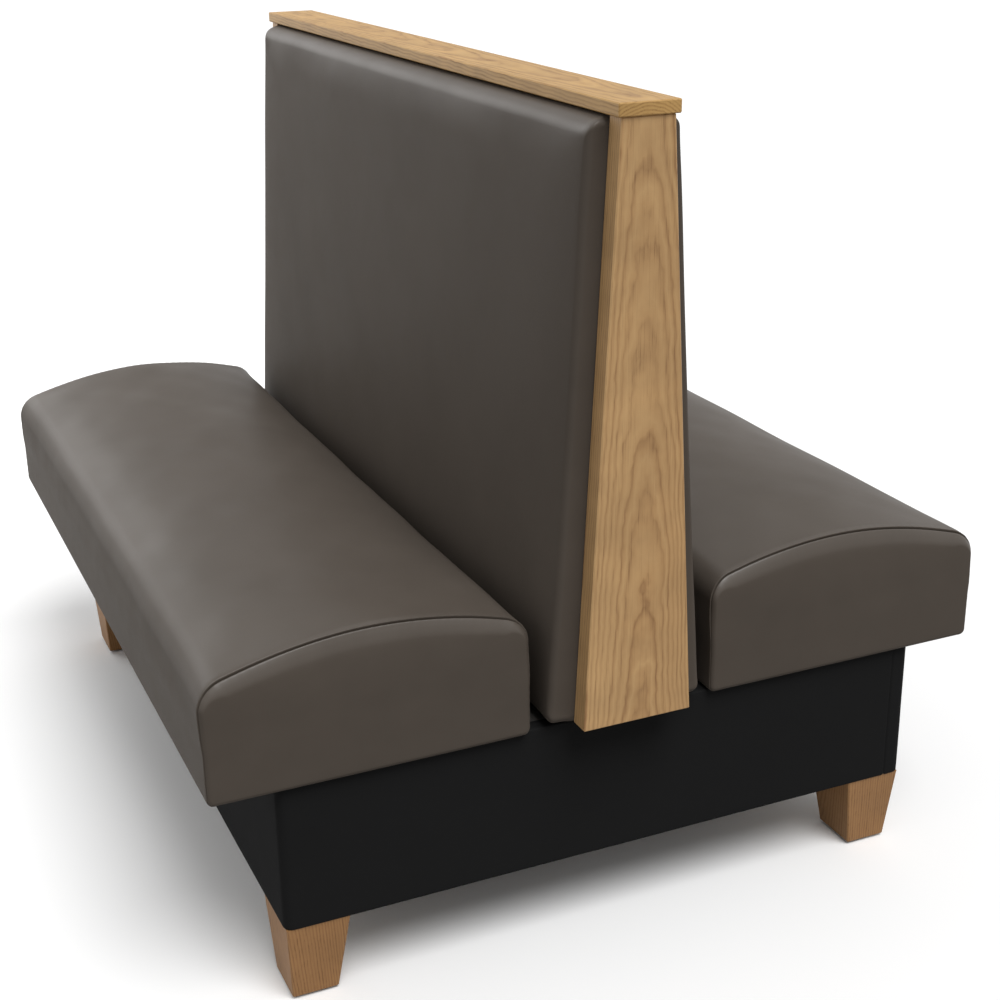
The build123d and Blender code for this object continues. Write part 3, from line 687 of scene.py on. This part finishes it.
def seatOutline(low, high, rail, slack):
    # Side view of a cushion from the middle of its underside round by the front: (y, z) points.
    # The crown is a parabola over the chord between the two shoulder rounds.
    lean = math.radians(seat["crownLean"])
    foot, sole = seat["footRound"], low.z
    front, back = high.y - slack, low.y + slack
    frontRound, backRound = seat["frontRound"], seat["backRound"]
    frontZ, backZ = sole + seat["frontShoulder"], sole + seat["backShoulder"]
    frontEnd = (front - frontRound * (1 - math.sin(lean)), frontZ + frontRound * math.cos(lean))
    backEnd = (back + backRound * (1 - math.sin(lean)), backZ + backRound * math.cos(lean))
    frameFront, frameBack = high.y - seat["bulge"], low.y + seat["backBulge"]
    middle = (front + back) / 2
    share = np.linspace(0, 1, sidePoints["crown"], endpoint=False)
    chord = frontEnd[1] + (backEnd[1] - frontEnd[1]) * share
    rise = high.z - slack - (frontEnd[1] + backEnd[1]) / 2
    crown = np.stack([frontEnd[0] + (backEnd[0] - frontEnd[0]) * share,
                      chord + 4 * rise * share * (1 - share)], axis=1)
    parts = [straight(middle, sole, frameFront - foot, sole, sidePoints["sole"]),
             arc(frameFront - foot, sole + foot, foot, -90, 0, sidePoints["foot"]),
             wall(sole + foot, frontZ, rail, high.y, seat["bulge"], slack, 1),
             arc(front - frontRound, frontZ, frontRound, 0, 90 - seat["crownLean"], sidePoints["round"]),
             crown,
             arc(back + backRound, backZ, backRound, 90 + seat["crownLean"], 180, sidePoints["round"]),
             wall(sole + foot, backZ, rail, low.y, seat["backBulge"], slack, -1)[::-1],
             arc(frameBack + foot, sole + foot, foot, 180, 270, sidePoints["foot"]),
             straight(frameBack + foot, sole, middle, sole, sidePoints["sole"])]
    return np.concatenate(parts)


def seatStations(half, reach, capRings, roundRings, sideRings, seamRings):
    # Rings from the middle of one end face to the other, as a running place q:
    # 0 to 1 grows across the end face, 1 to 2 turns the corner, 2 to 3 runs to the other end
    cap = np.linspace(seat["firstRing"], 1, capRings, endpoint=False)
    seam = 2 - seat["seamAngle"] / 90
    turn = np.linspace(1, 2, roundRings, endpoint=False)
    side = np.linspace(2, 2.5, sideRings)
    if seamRings:
        # Close rings at the seam, and one more where the flange ends
        close = seam + np.linspace(-seat["seamBeside"], seat["seamBeside"], seamRings)
        turn = np.sort(np.concatenate([turn[np.abs(turn - seam) > seat["seamBeside"] + 0.01], close]))
        flangeEnd = 2 + 0.5 * (half - seat["endRound"] - reach) / (half - seat["endRound"])
        side = np.sort(np.append(side, flangeEnd))
    else:
        turn = np.sort(np.append(turn[np.abs(turn - seam) > 0.1], seam))
    first = np.concatenate([cap, turn, side])
    return np.concatenate([first, (5 - first[:-1])[::-1]])


def fromEnd(q):
    # The running place counted from the nearer end face
    return np.where(q > 2.5, 5 - q, q)


def seatSurface(outline, half, rail, slack, q, v):
    # Point(q, v) = outline point at v, drawn in by the corner's turn and carried along X.
    # On the turn the angle runs from 0 at the long side to 90 at the end face: the ring stands
    # turn * (1 - sin(angle)) inside the end face and is drawn in by drop * (1 - cos(angle)); both
    # are larger on top than on the sides. On the end face the ring shrinks to its middle.
    base, normal = alongOutline(outline, v)
    near = fromEnd(q)
    sign = np.where(q > 2.5, 1.0, -1.0)
    angle = np.radians(90 * np.clip(2 - near, 0, 1))[:, None]
    shrink = np.clip(near, 0, 1)[:, None]
    up = np.clip(normal[:, 1], 0, 1)[None, :]
    down = np.clip(-normal[:, 1], 0, 1)[None, :]
    sideways = np.abs(normal[:, 0])[None, :]
    drop = (seat["endTopDrop"] * up ** 2 + seat["endFootDrop"] * down ** 2
            + seat["endSideDrop"] * sideways ** 2)
    inset = drop * (1 - np.cos(angle))
    aboveRail = base[None, :, 1] - rail
    free = np.clip((aboveRail - seat["wallStart"]) / seat["wallRise"], 0, 1) * sideways ** 2
    turn = seat["endRound"] + (seat["endTopRound"] - seat["endRound"]) * up ** 2 + (
        seat["endWallRound"] - seat["endRound"]) * free
    along = np.clip((near - 2) / 0.5, 0, 1)[:, None]
    x = (half - turn) * (1 - along) + turn * np.sin(angle)
    draw = seat["drawIn"] * (1 - (x / half) ** 2) * np.clip(aboveRail / seat["easeRise"], 0, 1)
    centre = np.array([base[:, 0].mean(), (base[:, 1].min() + base[:, 1].max()) / 2])
    y = base[None, :, 0] - normal[None, :, 0] * (inset + draw * sideways)
    z = base[None, :, 1] - normal[None, :, 1] * inset
    y = centre[0] + (y - centre[0]) * shrink
    z = centre[1] + (z - centre[1]) * shrink
    x = x - slack * gentle((z - rail) / seat["easeRise"]) * (1 - along)
    wide = (y - centre[0]) / (np.ptp(base[:, 0]) / 2)
    tall = (z - centre[1]) / (np.ptp(base[:, 1]) / 2)
    dome = np.clip(1 - wide ** 2, 0, 1) * np.clip(1 - tall ** 2, 0, 1)
    x = x + seat["endDome"] * dome * np.clip(2 - near, 0, 1)[:, None]
    return np.stack([x * sign[:, None], y, z], axis=-1)


def seatWaves(points, low, high):
    return faceWaves((points[..., 1] - low.y) / (high.y - low.y) * 2 - 1,
                     (points[..., 2] - low.z) / (high.z - low.z) * 2 - 1, seat["waveOrder"])


def makeSeat(prefix, side):
    low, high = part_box("rear_seat_cover")
    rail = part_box("rear_seat_frame_left")[1].z
    half = high.x
    outline = seatOutline(low, high, rail, seat["slack"])
    # The coarse cushion is blown up between its seams
    coarseV = np.arange(seat["coarsePoints"]) / seat["coarsePoints"]
    coarseQ = seatStations(half, 0, *seat["coarseRings"])
    coarse = seatSurface(outline, half, rail, seat["slack"], coarseQ, coarseV)
    near = fromEnd(coarseQ)
    seamQ = 2 - seat["seamAngle"] / 90
    held = (np.abs(near - seamQ) < 0.02)[:, None] | (coarse[..., 2] < rail + seat["heldRise"])
    shift = puff(coarse, held, seat["pressure"], seat["swell"], prefix + "_puff")
    shift = eased(eased(shift, 3, True), 2, False)
    # The fine cushion takes over that movement
    reach = half - seat["vinylThickness"] - seat["flange"]
    length = closedLine(outline)[1][-1]
    opening = ((high.y - low.y) / 2 - seat["flange"] - seat["bulge"]) / length
    ring = np.linspace(opening, 1 - opening, seat["ringPoints"])
    under = np.linspace(0, opening, seat["flangePoints"], endpoint=False)
    fineV = np.concatenate([under, ring, 1 - under[1:][::-1]])
    fineQ = seatStations(half, reach, *seat["fineRings"])
    points = seatSurface(outline, half, rail, seat["slack"], fineQ, fineV)
    moved = refined(shift, coarseQ, coarseV, fineQ, fineV)
    # On the end faces the swelling is read as a smooth sum of waves, so that no fold runs there
    fineNear = fromEnd(fineQ)
    for leftEnd in (True, False):
        known = (near < 1.3) & ((coarseQ < 2.5) == leftEnd)
        wanted = (fineNear < seamQ) & ((fineQ < 2.5) == leftEnd)
        waves = seatWaves(coarse[known], low, high)
        terms = np.linalg.lstsq(waves, shift[known].reshape(-1, 3), rcond=None)[0]
        calm = (seatWaves(points[wanted], low, high) @ terms).reshape(moved[wanted].shape)
        share = gentle((fineNear[wanted] - 1) / (seamQ - 1))[:, None, None]
        moved[wanted] = calm * (1 - share) + moved[wanted] * share
    points = points + moved * gentle((points[..., 2:] - rail) / seat["swellRise"])
    swollen = points.copy()
    # Seams: a groove with a ridge beside it and puckers at the stitches, softer at the foot
    normal = surfaceNormals(points)
    meridian = runningLength(points[:, len(fineV) // 2])
    width = seat["seamWidth"]
    relief = np.zeros(len(fineQ))
    for target in (seamQ, 5 - seamQ):
        spot = np.interp(target, fineQ, meridian)
        away = (meridian - spot) * (1 if target < 2.5 else -1)
        relief += -seat["seamDepth"] * bell(away, width)
        ridge = bell(away - seat["ridgePlace"] * width, seat["ridgeWidth"] * width)
        relief += seat["seamRidge"] * ridge
        pull = np.exp(-np.abs(away) / seat["puckerReach"])
        stitch = np.cos(2 * math.pi * fineV * length / seat["puckerStep"])
        pucker = pull[:, None] * stitch[None, :] * seat["puckerDepth"] / 2
        points = points + normal * pucker[..., None]
    soft = gentle((points[..., 2] - rail) / seat["easeRise"])
    seamShare = seat["footSeamShare"] + (1 - seat["footSeamShare"]) * soft
    offset = relief[:, None] * seamShare + unevenness(points, seat["unevenness"]) * soft
    points = points + normal * offset[..., None]
    # The underside is open inside the flange that is stapled to the frame
    rows, columns = points.shape[:2]
    quads = gridFaces(rows, columns)
    inside = (np.abs(points.reshape(-1, 3)[quads, 0]) < reach + 0.0001).all(axis=1)
    bottom = (np.abs((fineV[quads % columns] + 0.5) % 1 - 0.5) <= opening + 1e-9).all(axis=1)
    cover = ringMesh(prefix + "_vinyl", points, side, quads[~(inside & bottom)])
    polish(cover, points, seat["topShine"], seat["edgeShine"], seat["shoulderShine"])
    thicken(cover, seat["vinylThickness"])
    cover.data.materials.append(taupeVinyl)
    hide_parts(prefix + "_cover")
    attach(cover, prefix)
    # The foam is the cover's own surface moved inwards, closed by a flat underside on the webbing.
    # It takes every third ring and every other point.
    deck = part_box("rear_seat_foam")[0].z
    rings = np.arange(0, rows, 3)
    rings = np.append(rings[rings < rows - 1], rows - 1)
    sides = np.flatnonzero(swollen[rows // 2, :, 2] > deck + 0.002)[::2]
    core = (swollen - surfaceNormals(swollen) * seat["foamGap"])[np.ix_(rings, sides)]
    share = np.linspace(0, 1, seat["solePoints"])[None, 1:-1, None]
    sole = core[:, -1:] * (1 - share) + core[:, :1] * share
    core = np.concatenate([core, sole], axis=1)
    core[..., 2] = np.maximum(core[..., 2], deck)
    foam = ringMesh(prefix + "_core", core, side)
    foam.data.materials.append(seatFoam)
    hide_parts(prefix + "_foam")
    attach(foam, prefix)


makeSeat("front_seat", -1)
makeSeat("rear_seat", 1)
print("seats made")


# Back pads
pad = {
    "faceTop": 0.0569,
    "faceFoot": 0.1039,
    "boardTop": 0.032,
    "boardFoot": 0.0705,
    "boardTopZ": 1.007,
    "boardFootZ": 0.306,
    "panelInset": 0.0015,
    "ribInset": 0.0105,
    "crown": 0.0040,
    "topRound": 0.0235,
    "topReach": 0.0195,
    "topRise": 0.0026,
    "sideRound": 0.0075,
    "sideReach": 0.0085,
    "footRound": 0.010,
    "footReach": 0.011,
    "cornerRound": 0.012,
    "innerCorner": 0.008,
    "lip": 0.014,
    "leastEdge": 0.0005,
    "vinylThickness": 0.0012,
    "foamGap": 0.0028,
    "slack": 0.0012,
    "rimSlackShare": 0.4,
    "swell": 0.0030,
    "pressure": 2.4,
    "waveOrder": 8,
    "unevenness": 0.0004,
    "foldDepth": 0.0012,
    "foldPlace": 0.012,
    "foldWidth": 0.0025,
    "foldReach": 0.016,
    "ringPoints": 380,
    "coarsePoints": 110,
    # Where the first ring lies, then rings over the face, over the edge, down the wall, behind
    "coarseRings": (0.04, 26, 4, 4),
    "fineRings": (0.02, 66, 12, 7, 4),
    "fill": 0.9,
    "topShine": 0.10,
    "edgeShine": 0.30,
    "shoulderShine": 0.48,
}
# How finely the pad's plan is drawn, and how its points crowd towards the corners
planPoints = {"halfFoot": 300, "corner": 60, "side": 400, "top": 600, "crowding": 9, "crowdReach": 0.03}


def roundedPlan(halfWidth, low, high, corner):
    # Rounded rectangle from the middle of its foot to +X and round: (x, z) points
    right = halfWidth - corner
    foot, turn, side = planPoints["halfFoot"], planPoints["corner"], planPoints["side"]
    return np.concatenate([straight(0, low, right, low, foot),
                           arc(right, low + corner, corner, -90, 0, turn),
                           straight(halfWidth, low + corner, halfWidth, high - corner, side),
                           arc(right, high - corner, corner, 0, 90, turn),
                           straight(right, high, -right, high, planPoints["top"]),
                           arc(-right, high - corner, corner, 90, 180, turn),
                           straight(-halfWidth, high - corner, -halfWidth, low + corner, side),
                           arc(-right, low + corner, corner, 180, 270, turn),
                           straight(-right, low, 0, low, foot)])


def crowdedShares(plan, corner, halfWidth, low, high, count):
    # Shares round the plan that crowd together at its four corners
    closed, length = closedLine(plan)
    share = length / length[-1]
    fromCorner = np.hypot(halfWidth - corner / 2 - np.abs(closed[:, 0]),
                          (high - low) / 2 - corner / 2 - np.abs(closed[:, 1] - (high + low) / 2))
    weight = 1 + planPoints["crowding"] * bell(fromCorner, planPoints["crowdReach"])
    total = np.concatenate([[0], np.cumsum((weight[1:] + weight[:-1]) / 2 * np.diff(share))])
    return np.interp(np.arange(count) / count * total[-1], total, share)


def padStations(start, *counts):
    # Rings from start to 1, then on to 2, to 3 and to 4, each stretch with its own count
    stops = [start, 1, 2, 3, 4]
    last = len(counts) - 1
    return np.concatenate([np.linspace(stops[i], stops[i + 1], count, endpoint=i == last)
                           for i, count in enumerate(counts)])


def boardEdge(z):
    # The tapering edge of the oak end boards
    share = (pad["boardTopZ"] - z) / (pad["boardTopZ"] - pad["boardFootZ"])
    return pad["boardTop"] + (pad["boardFoot"] - pad["boardTop"]) * share


def padSurface(q, v):
    # Point(q, v) = inner rounded rectangle in the XZ plane at v, grown from the middle of the face
    # for q 0 to 1, then turned over the edge to the outer rectangle through a quarter ellipse for
    # q 1 to 2, then carried back to the rib line for q 2 to 3, and drawn in behind for q 3 to 4.
    # Its Y is the sloping face plus crown * (1 - x^2)(1 - z^2), with x and z as shares of the half
    # width and half height.
    low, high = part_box("back_cover_rear")
    slack = pad["slack"]
    margin = slack * pad["rimSlackShare"]
    halfWidth, foot = high.x - margin, low.z + margin
    top = high.z + pad["topRise"] - margin
    plan = roundedPlan(halfWidth, foot, top, pad["cornerRound"])
    rim, normal = alongOutline(plan, v)
    length = closedLine(plan)[1]
    within = closedLine(roundedPlan(halfWidth - pad["sideReach"], foot + pad["footReach"],
                                    top - pad["topReach"], pad["innerCorner"]))[0]
    inner = readLine(v * length[-1], length, within)
    up = np.clip(normal[:, 1], 0, 1) ** 2
    down = np.clip(-normal[:, 1], 0, 1) ** 2
    turn = pad["topRound"] * up + pad["footRound"] * down + pad["sideRound"] * normal[:, 0] ** 2
    angle = (np.clip(q - 1, 0, 1) * math.pi / 2)[:, None]
    shrink = np.clip(q, 0, 1)[:, None]
    behind = np.clip(q - 3, 0, 1)[:, None] * pad["lip"]
    grown = np.sin(angle)
    x = inner[None, :, 0] * (1 - grown) + rim[None, :, 0] * grown - normal[None, :, 0] * behind
    z = inner[None, :, 1] * (1 - grown) + rim[None, :, 1] * grown - normal[None, :, 1] * behind
    middle = (foot + top) / 2
    x = x * shrink
    z = middle + (z - middle) * shrink
    share = (z - low.z) / (high.z - low.z)
    flat = pad["faceFoot"] + (pad["faceTop"] - pad["faceFoot"]) * share - slack
    crown = pad["crown"] * np.clip(1 - (x / halfWidth) ** 2, 0, 1) * np.clip(
        1 - ((z - middle) / (top - middle)) ** 2, 0, 1)
    front = flat + crown
    back = np.minimum(boardEdge(z) - pad["ribInset"], front)
    edge = np.maximum(front - turn * (1 - np.cos(angle)), back + pad["leastEdge"])
    wallShare = np.clip(q - 2, 0, 1)[:, None]
    y = edge * (1 - wallShare) + back * wallShare
    return np.stack([x, y, z], axis=-1)


def padWaves(points, low, high):
    return faceWaves(points[..., 0] / high.x, (points[..., 2] - low.z) / (high.z - low.z) * 2 - 1,
                     pad["waveOrder"])


def makePad(name, side):
    low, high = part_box("back_cover_rear")
    plan = roundedPlan(high.x, low.z, high.z, pad["cornerRound"])
    place = (plan, pad["cornerRound"], high.x, low.z, high.z)
    coarseV = crowdedShares(*place, pad["coarsePoints"])
    coarseQ = padStations(*pad["coarseRings"])
    coarse = padSurface(coarseQ, coarseV)
    held = np.broadcast_to((coarseQ > 2.5)[:, None], coarse.shape[:2])
    shift = puff(coarse, held, pad["pressure"], pad["swell"], name + "_puff")
    # The swelling of the face is read as a smooth sum of waves, so that no fold runs to the corners
    face = coarseQ < 1.01
    waves = padWaves(coarse[face], low, high)
    terms = np.linalg.lstsq(waves, shift[face].reshape(-1, 3), rcond=None)[0]
    fineV = crowdedShares(*place, pad["ringPoints"])
    fineQ = padStations(*pad["fineRings"])
    points = padSurface(fineQ, fineV)
    smooth = (padWaves(points, low, high) @ terms).reshape(points.shape)
    raw = refined(shift, coarseQ, coarseV, fineQ, fineV)
    edgeShare = np.clip(fineQ - 1, 0, 1)[:, None, None]
    points = points + smooth * (1 - edgeShare) + raw * edgeShare
    points[..., 2] = np.minimum(points[..., 2], high.z + pad["topRise"])
    swollen = points.copy()
    # Slow waves on the face, and the vinyl folded under itself at the two lower corners
    wave = unevenness(points, pad["unevenness"]) * np.clip(2 - fineQ, 0, 1)[:, None]
    spot = np.stack([np.abs(points[..., 0]) - (high.x - pad["foldPlace"]),
                     points[..., 2] - (low.z + pad["foldPlace"])], axis=-1)
    across = (spot[..., 0] + spot[..., 1]) / math.sqrt(2)
    fold = bell(across, pad["foldWidth"]) * bell(np.linalg.norm(spot, axis=-1), pad["foldReach"])
    fold = fold * np.clip(fineQ - 1.2, 0, 1)[:, None] * np.clip(3 - fineQ, 0, 1)[:, None]
    points = points + surfaceNormals(points) * (wave - fold * pad["foldDepth"])[..., None]
    cover = ringMesh("back_pad_" + name, points, side, bothEnds=False)
    polish(cover, points, pad["topShine"], pad["edgeShine"], pad["shoulderShine"])
    thicken(cover, pad["vinylThickness"])
    cover.data.materials.append(taupeVinyl)
    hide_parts("back_cover_" + name)
    # The foam is the cover's own surface moved inwards, closed where it lies on the plywood
    rings = np.flatnonzero(fineQ <= 2)
    rings = np.append(rings[:-1:2], rings[-1])
    core = (swollen - surfaceNormals(swollen) * pad["foamGap"])[rings, ::2]
    sole = core[-1:].copy()
    sole[..., 1] = boardEdge(sole[..., 2]) - pad["panelInset"]
    foam = ringMesh("back_core_" + name, np.concatenate([core, sole]), side)
    foam.data.materials.append(seatFoam)
    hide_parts("back_foam_" + name)
    for piece in (cover, foam):
        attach(piece, "booth")


makePad("front", -1)
makePad("rear", 1)
print("back pads made")


# Black vinyl round the base
wrap = {
    "cornerRound": 0.012,
    "edgeRound": 0.0022,
    "lip": 0.0187,
    "thickness": 0.001,
    "hemDepth": 0.0009,
    "hemWidth": 0.0017,
    "seamJoin": 0.0003,
    "hemRise": 0.0004,
    "risePlace": 0.0045,
    "riseWidth": 0.002,
    "ripple": 0.00025,
    "rippleStart": 0.03,
    # Distances from a seam at which the hem has a row of points
    "hemRows": (0, 0.0006, 0.0012, 0.002, 0.003, 0.004, 0.0055, 0.007, 0.009, 0.0115),
    "hemEnd": 0.012,
    "cornerRows": 11,
    "frontRows": 90,
    "sideRows": 70,
    "bendPoints": 6,
    "lipPoints": 5,
    "facePoints": 34,
}


def wrapPath(halfLength, halfDepth, seamY):
    # Plan of the front strip from its left seam round the front to its right seam: points of the
    # corner centres' rectangle with the outward direction beside each
    a, b = halfLength - wrap["cornerRound"], halfDepth - wrap["cornerRound"]
    hem = np.array(wrap["hemRows"])
    turn = np.radians(np.linspace(0, 90, wrap["cornerRows"]))
    corner = np.ones(len(turn))
    front = np.linspace(-a, a, wrap["frontRows"])[1:-1]
    flat = np.ones(len(front))
    left = -seamY - hem
    rightSide = np.linspace(-b, seamY - wrap["hemEnd"], wrap["sideRows"])[1:]
    right = np.concatenate([rightSide, seamY - hem[::-1]])
    ahead, beside = np.ones(len(left)), np.ones(len(right))
    x = np.concatenate([-a * ahead, -a * corner, front, a * corner, a * beside])
    y = np.concatenate([left, -b * corner, -b * flat, -b * corner, right])
    outX = np.concatenate([-ahead, -np.cos(turn), 0 * flat, np.sin(turn), beside])
    outY = np.concatenate([0 * ahead, -np.sin(turn), -flat, -np.cos(turn), 0 * beside])
    return np.stack([x, y], axis=1), np.stack([outX, outY], axis=1)


def makeWrap(name, turned):
    # Point(path, profile) = corner centre + outward * (corner round - depth), where the profile
    # gives depth and height: lip on top, edge bend, upright face, edge bend, lip underneath
    low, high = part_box("base_cover_front")
    halfLength, halfDepth, seamY = high.x, -low.y, high.y + wrap["seamJoin"]
    place, out = wrapPath(halfLength, halfDepth, seamY)
    e = wrap["edgeRound"]
    bend = np.radians(np.linspace(0, 90, wrap["bendPoints"]))
    lip = np.linspace(wrap["lip"], e, wrap["lipPoints"], endpoint=False)
    face = np.linspace(high.z - e, low.z + e, wrap["facePoints"])[1:-1]
    level = np.ones(len(lip))
    depth = np.concatenate([lip, e - e * np.sin(bend), 0 * face, e - e * np.cos(bend), lip[::-1]])
    height = np.concatenate([high.z * level, high.z - e + e * np.cos(bend), face,
                             low.z + e - e * np.sin(bend), low.z * level])
    run = runningLength(place + out * wrap["cornerRound"])
    fromSeam = np.minimum(run, run[-1] - run)
    hem = (wrap["hemDepth"] * bell(fromSeam, wrap["hemWidth"])
           - wrap["hemRise"] * bell(fromSeam - wrap["risePlace"], wrap["riseWidth"]))
    swing = 2.1 * np.sin(height[None, :] * 31.0)
    ripple = wrap["ripple"] * (1 + np.sin(run[:, None] * 19.0 + swing)) / 2
    upright = (depth < e)[None, :] * np.clip(fromSeam / wrap["rippleStart"], 0, 1)[:, None]
    inward = np.clip(depth[None, :] + hem[:, None] + ripple * upright, 0, None)
    radius = np.maximum(wrap["cornerRound"] - inward, 0)
    x = np.clip(place[:, :1] + out[:, :1] * radius, inward - halfLength, halfLength - inward)
    y = np.clip(place[:, 1:] + out[:, 1:] * radius, inward - halfDepth, halfDepth - inward)
    points = np.stack([x, y, np.broadcast_to(height, x.shape)], axis=-1)
    if turned:
        points = points * np.array([-1, -1, 1])
    strip = makeMesh("base_vinyl_" + name, points.reshape(-1, 3), gridFaces(*x.shape, wrap=False))
    thicken(strip, wrap["thickness"])
    strip.data.materials.append(blackVinyl)
    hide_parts("base_cover_" + name)
    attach(strip, "booth")


makeWrap("front", False)
makeWrap("rear", True)
print("base vinyl made")


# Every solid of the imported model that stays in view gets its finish. Each oak piece is sawn from
# another place in the tree: shift moves the pattern along the grain.
for name, side, shift in (("right", 1.0, 0.31), ("left", -1.0, 1.7)):
    paint(oakMaterial("oak_board_" + name, "Z", "Y", middle=(side * 0.5935, 0.0, 0.62), depthSign=side,
                      shift=shift), "end_board_" + name)
paint(oakMaterial("oak_cap", "X", "Y", middle=(0.0, 0.0, 1.0145), taper=0.7, tint=(0.98, 0.96, 0.74),
                  shift=3.3), "top_cap")
legs = {
    "leg_front_left": (-0.51, -0.387, 2.1),
    "leg_front_right": (0.51, -0.387, 4.4),
    "leg_rear_left": (-0.51, 0.387, 6.2),
    "leg_rear_right": (0.51, 0.387, 8.9),
}
for leg, (x, y, shift) in legs.items():
    # The heart line passes 0.13 beside a leg, so that its grain runs straight. The legs' darker tint is
    # painted shade, for their place under the base
    paint(oakMaterial("oak_" + leg, "Z", "Y", middle=(x, y - 0.13, 0.055), taper=0.12,
                      tint=(0.70, 0.60, 0.52), shift=shift, wander=0.3, ringWidth=0.0030), leg)
paint(plywoodMaterial("plywood_long", "X", "Z"), "base_board_front", "base_board_rear")
paint(plywoodMaterial("plywood_cross", "Y", "Z"), "base_board_left", "base_board_right")
# Painted shade: the crosspieces seen in the gap behind the seats are near black
paint(plywoodMaterial("plywood_painted_shade", "Y", "Z", **paintedGapShade),
      "base_crosspiece_left", "base_crosspiece_centre", "base_crosspiece_right")
paint(plywoodMaterial("plywood_back", "X", "Z"), "back_panel_front", "back_panel_rear")
# Painted shade: the ledgers seen in the gap behind the seats are near black
paint(pineMaterial("pine_painted_shade", "X", "Y", **paintedGapShade), "base_ledger_front", "base_ledger_rear")
paint(pineMaterial("pine_along", "X", "Y"), "back_top_rail", "back_lower_rail_front",
      "back_lower_rail_rear", "front_seat_frame_front", "front_seat_frame_back",
      "rear_seat_frame_front", "rear_seat_frame_back")
paint(pineMaterial("pine_across", "Y", "X"), "front_seat_frame_left", "front_seat_frame_right",
      "front_seat_frame_centre", "rear_seat_frame_left", "rear_seat_frame_right",
      "rear_seat_frame_centre", "front_seat_tongues", "rear_seat_tongues", "base_corner_blocks")
paint(pineMaterial("pine_upright", "Z", "Y"), "back_rib_left", "back_rib_centre", "back_rib_right",
      "back_end_post_left", "back_end_post_right")
paint(webbingMaterial("jute_webbing"), "front_seat_webbing", "rear_seat_webbing")
paint(nylonMaterial("nylon"), "leg_glides")
paint(steelMaterial("zinc_steel"), "leg_plates", "leg_plate_screws", "leg_hanger_bolts",
      "back_rib_bolts", "back_rib_nuts", "end_board_screws", "top_cap_screws")
print("solids painted")


# Camera, at the photograph's viewing angle
shot = {
    "lens": 60.5343,
    "sensor": 36.0,
    "place": (2.144881, -0.855099, 1.259812),
    "tilt": 68.959146,
    "roll": 0.673008,
    "heading": 65.843577,
}
lens = bpy.data.cameras.new("camera")
lens.lens = shot["lens"]
lens.sensor_width = shot["sensor"]
camera = bpy.data.objects.new("camera", lens)
camera.location = shot["place"]
camera.rotation_euler = Euler([math.radians(shot[name]) for name in ("tilt", "roll", "heading")], "XYZ")
scene.collection.objects.link(camera)
scene.camera = camera


# Studio
studio = {
    "sunStrength": 2.15,
    "sunElevation": 60.0,
    "sunHeading": 8.0,
    "sunAngle": 34.0,
    "ambient": 0.51,
    "sidePlace": (-2.5, -1.3, 1.55),
    "sideAim": (-0.1, -0.1, 0.45),
    "sideSize": 1.8,
    "sidePower": 22.0,
    "floorSeen": 1.0,
    "floorBounce": 0.28,
    "floorReach": 60.0,
}


def seenDirectly(tree):
    # 1 for camera, glossy and transmission rays, 0 for the rays that light other things
    rays = tree.nodes.new("ShaderNodeLightPath")
    seen = sums(tree, "MAXIMUM", rays.outputs["Is Camera Ray"], rays.outputs["Is Glossy Ray"])
    return sums(tree, "MAXIMUM", seen, rays.outputs["Is Transmission Ray"])


world = bpy.data.worlds.new("studio")
scene.world = world
world.use_nodes = True
air = world.node_tree
sky = air.nodes["Background"]
strength = sums(air, "MULTIPLY_ADD", seenDirectly(air), 1.0 - studio["ambient"], studio["ambient"])
feed(air, sky.inputs["Strength"], strength)
sky.inputs["Color"].default_value = (1, 1, 1, 1)

sun = bpy.data.lights.new("sun", "SUN")
sun.energy = studio["sunStrength"]
sun.angle = math.radians(studio["sunAngle"])
sunPlace = bpy.data.objects.new("sun", sun)
fromZenith, heading = math.radians(90 - studio["sunElevation"]), math.radians(studio["sunHeading"])
sunPlace.rotation_euler = (0, fromZenith, heading)
scene.collection.objects.link(sunPlace)

lamp = bpy.data.lights.new("side", "AREA")
lamp.size = studio["sideSize"]
lamp.energy = studio["sidePower"]
lampPlace = bpy.data.objects.new("side", lamp)
lampPlace.location = studio["sidePlace"]
towards = Vector(studio["sideAim"]) - Vector(studio["sidePlace"])
lampPlace.rotation_euler = towards.to_track_quat("-Z", "Y").to_euler()
lampPlace.visible_camera = False
scene.collection.objects.link(lampPlace)

# The floor is white where it is seen, and darker for the light that it throws back
floorMaterial, floorTree, floorShader, _ = startMaterial("floor")
feed(floorTree, floorShader.inputs["Base Color"],
     mixed(floorTree, seenDirectly(floorTree), (studio["floorBounce"],) * 3, (studio["floorSeen"],) * 3))
floorShader.inputs["Roughness"].default_value = 1.0
floorShader.inputs["Specular IOR Level"].default_value = 0.0
corners = np.array([[-1, -1, 0], [1, -1, 0], [1, 1, 0], [-1, 1, 0]], float) * studio["floorReach"]
floor = makeMesh("floor", corners, np.array([[0, 1, 2, 3]]))
floor.data.materials.append(floorMaterial)
scene.view_settings.view_transform = "Standard"
print("camera, lamps and floor placed")
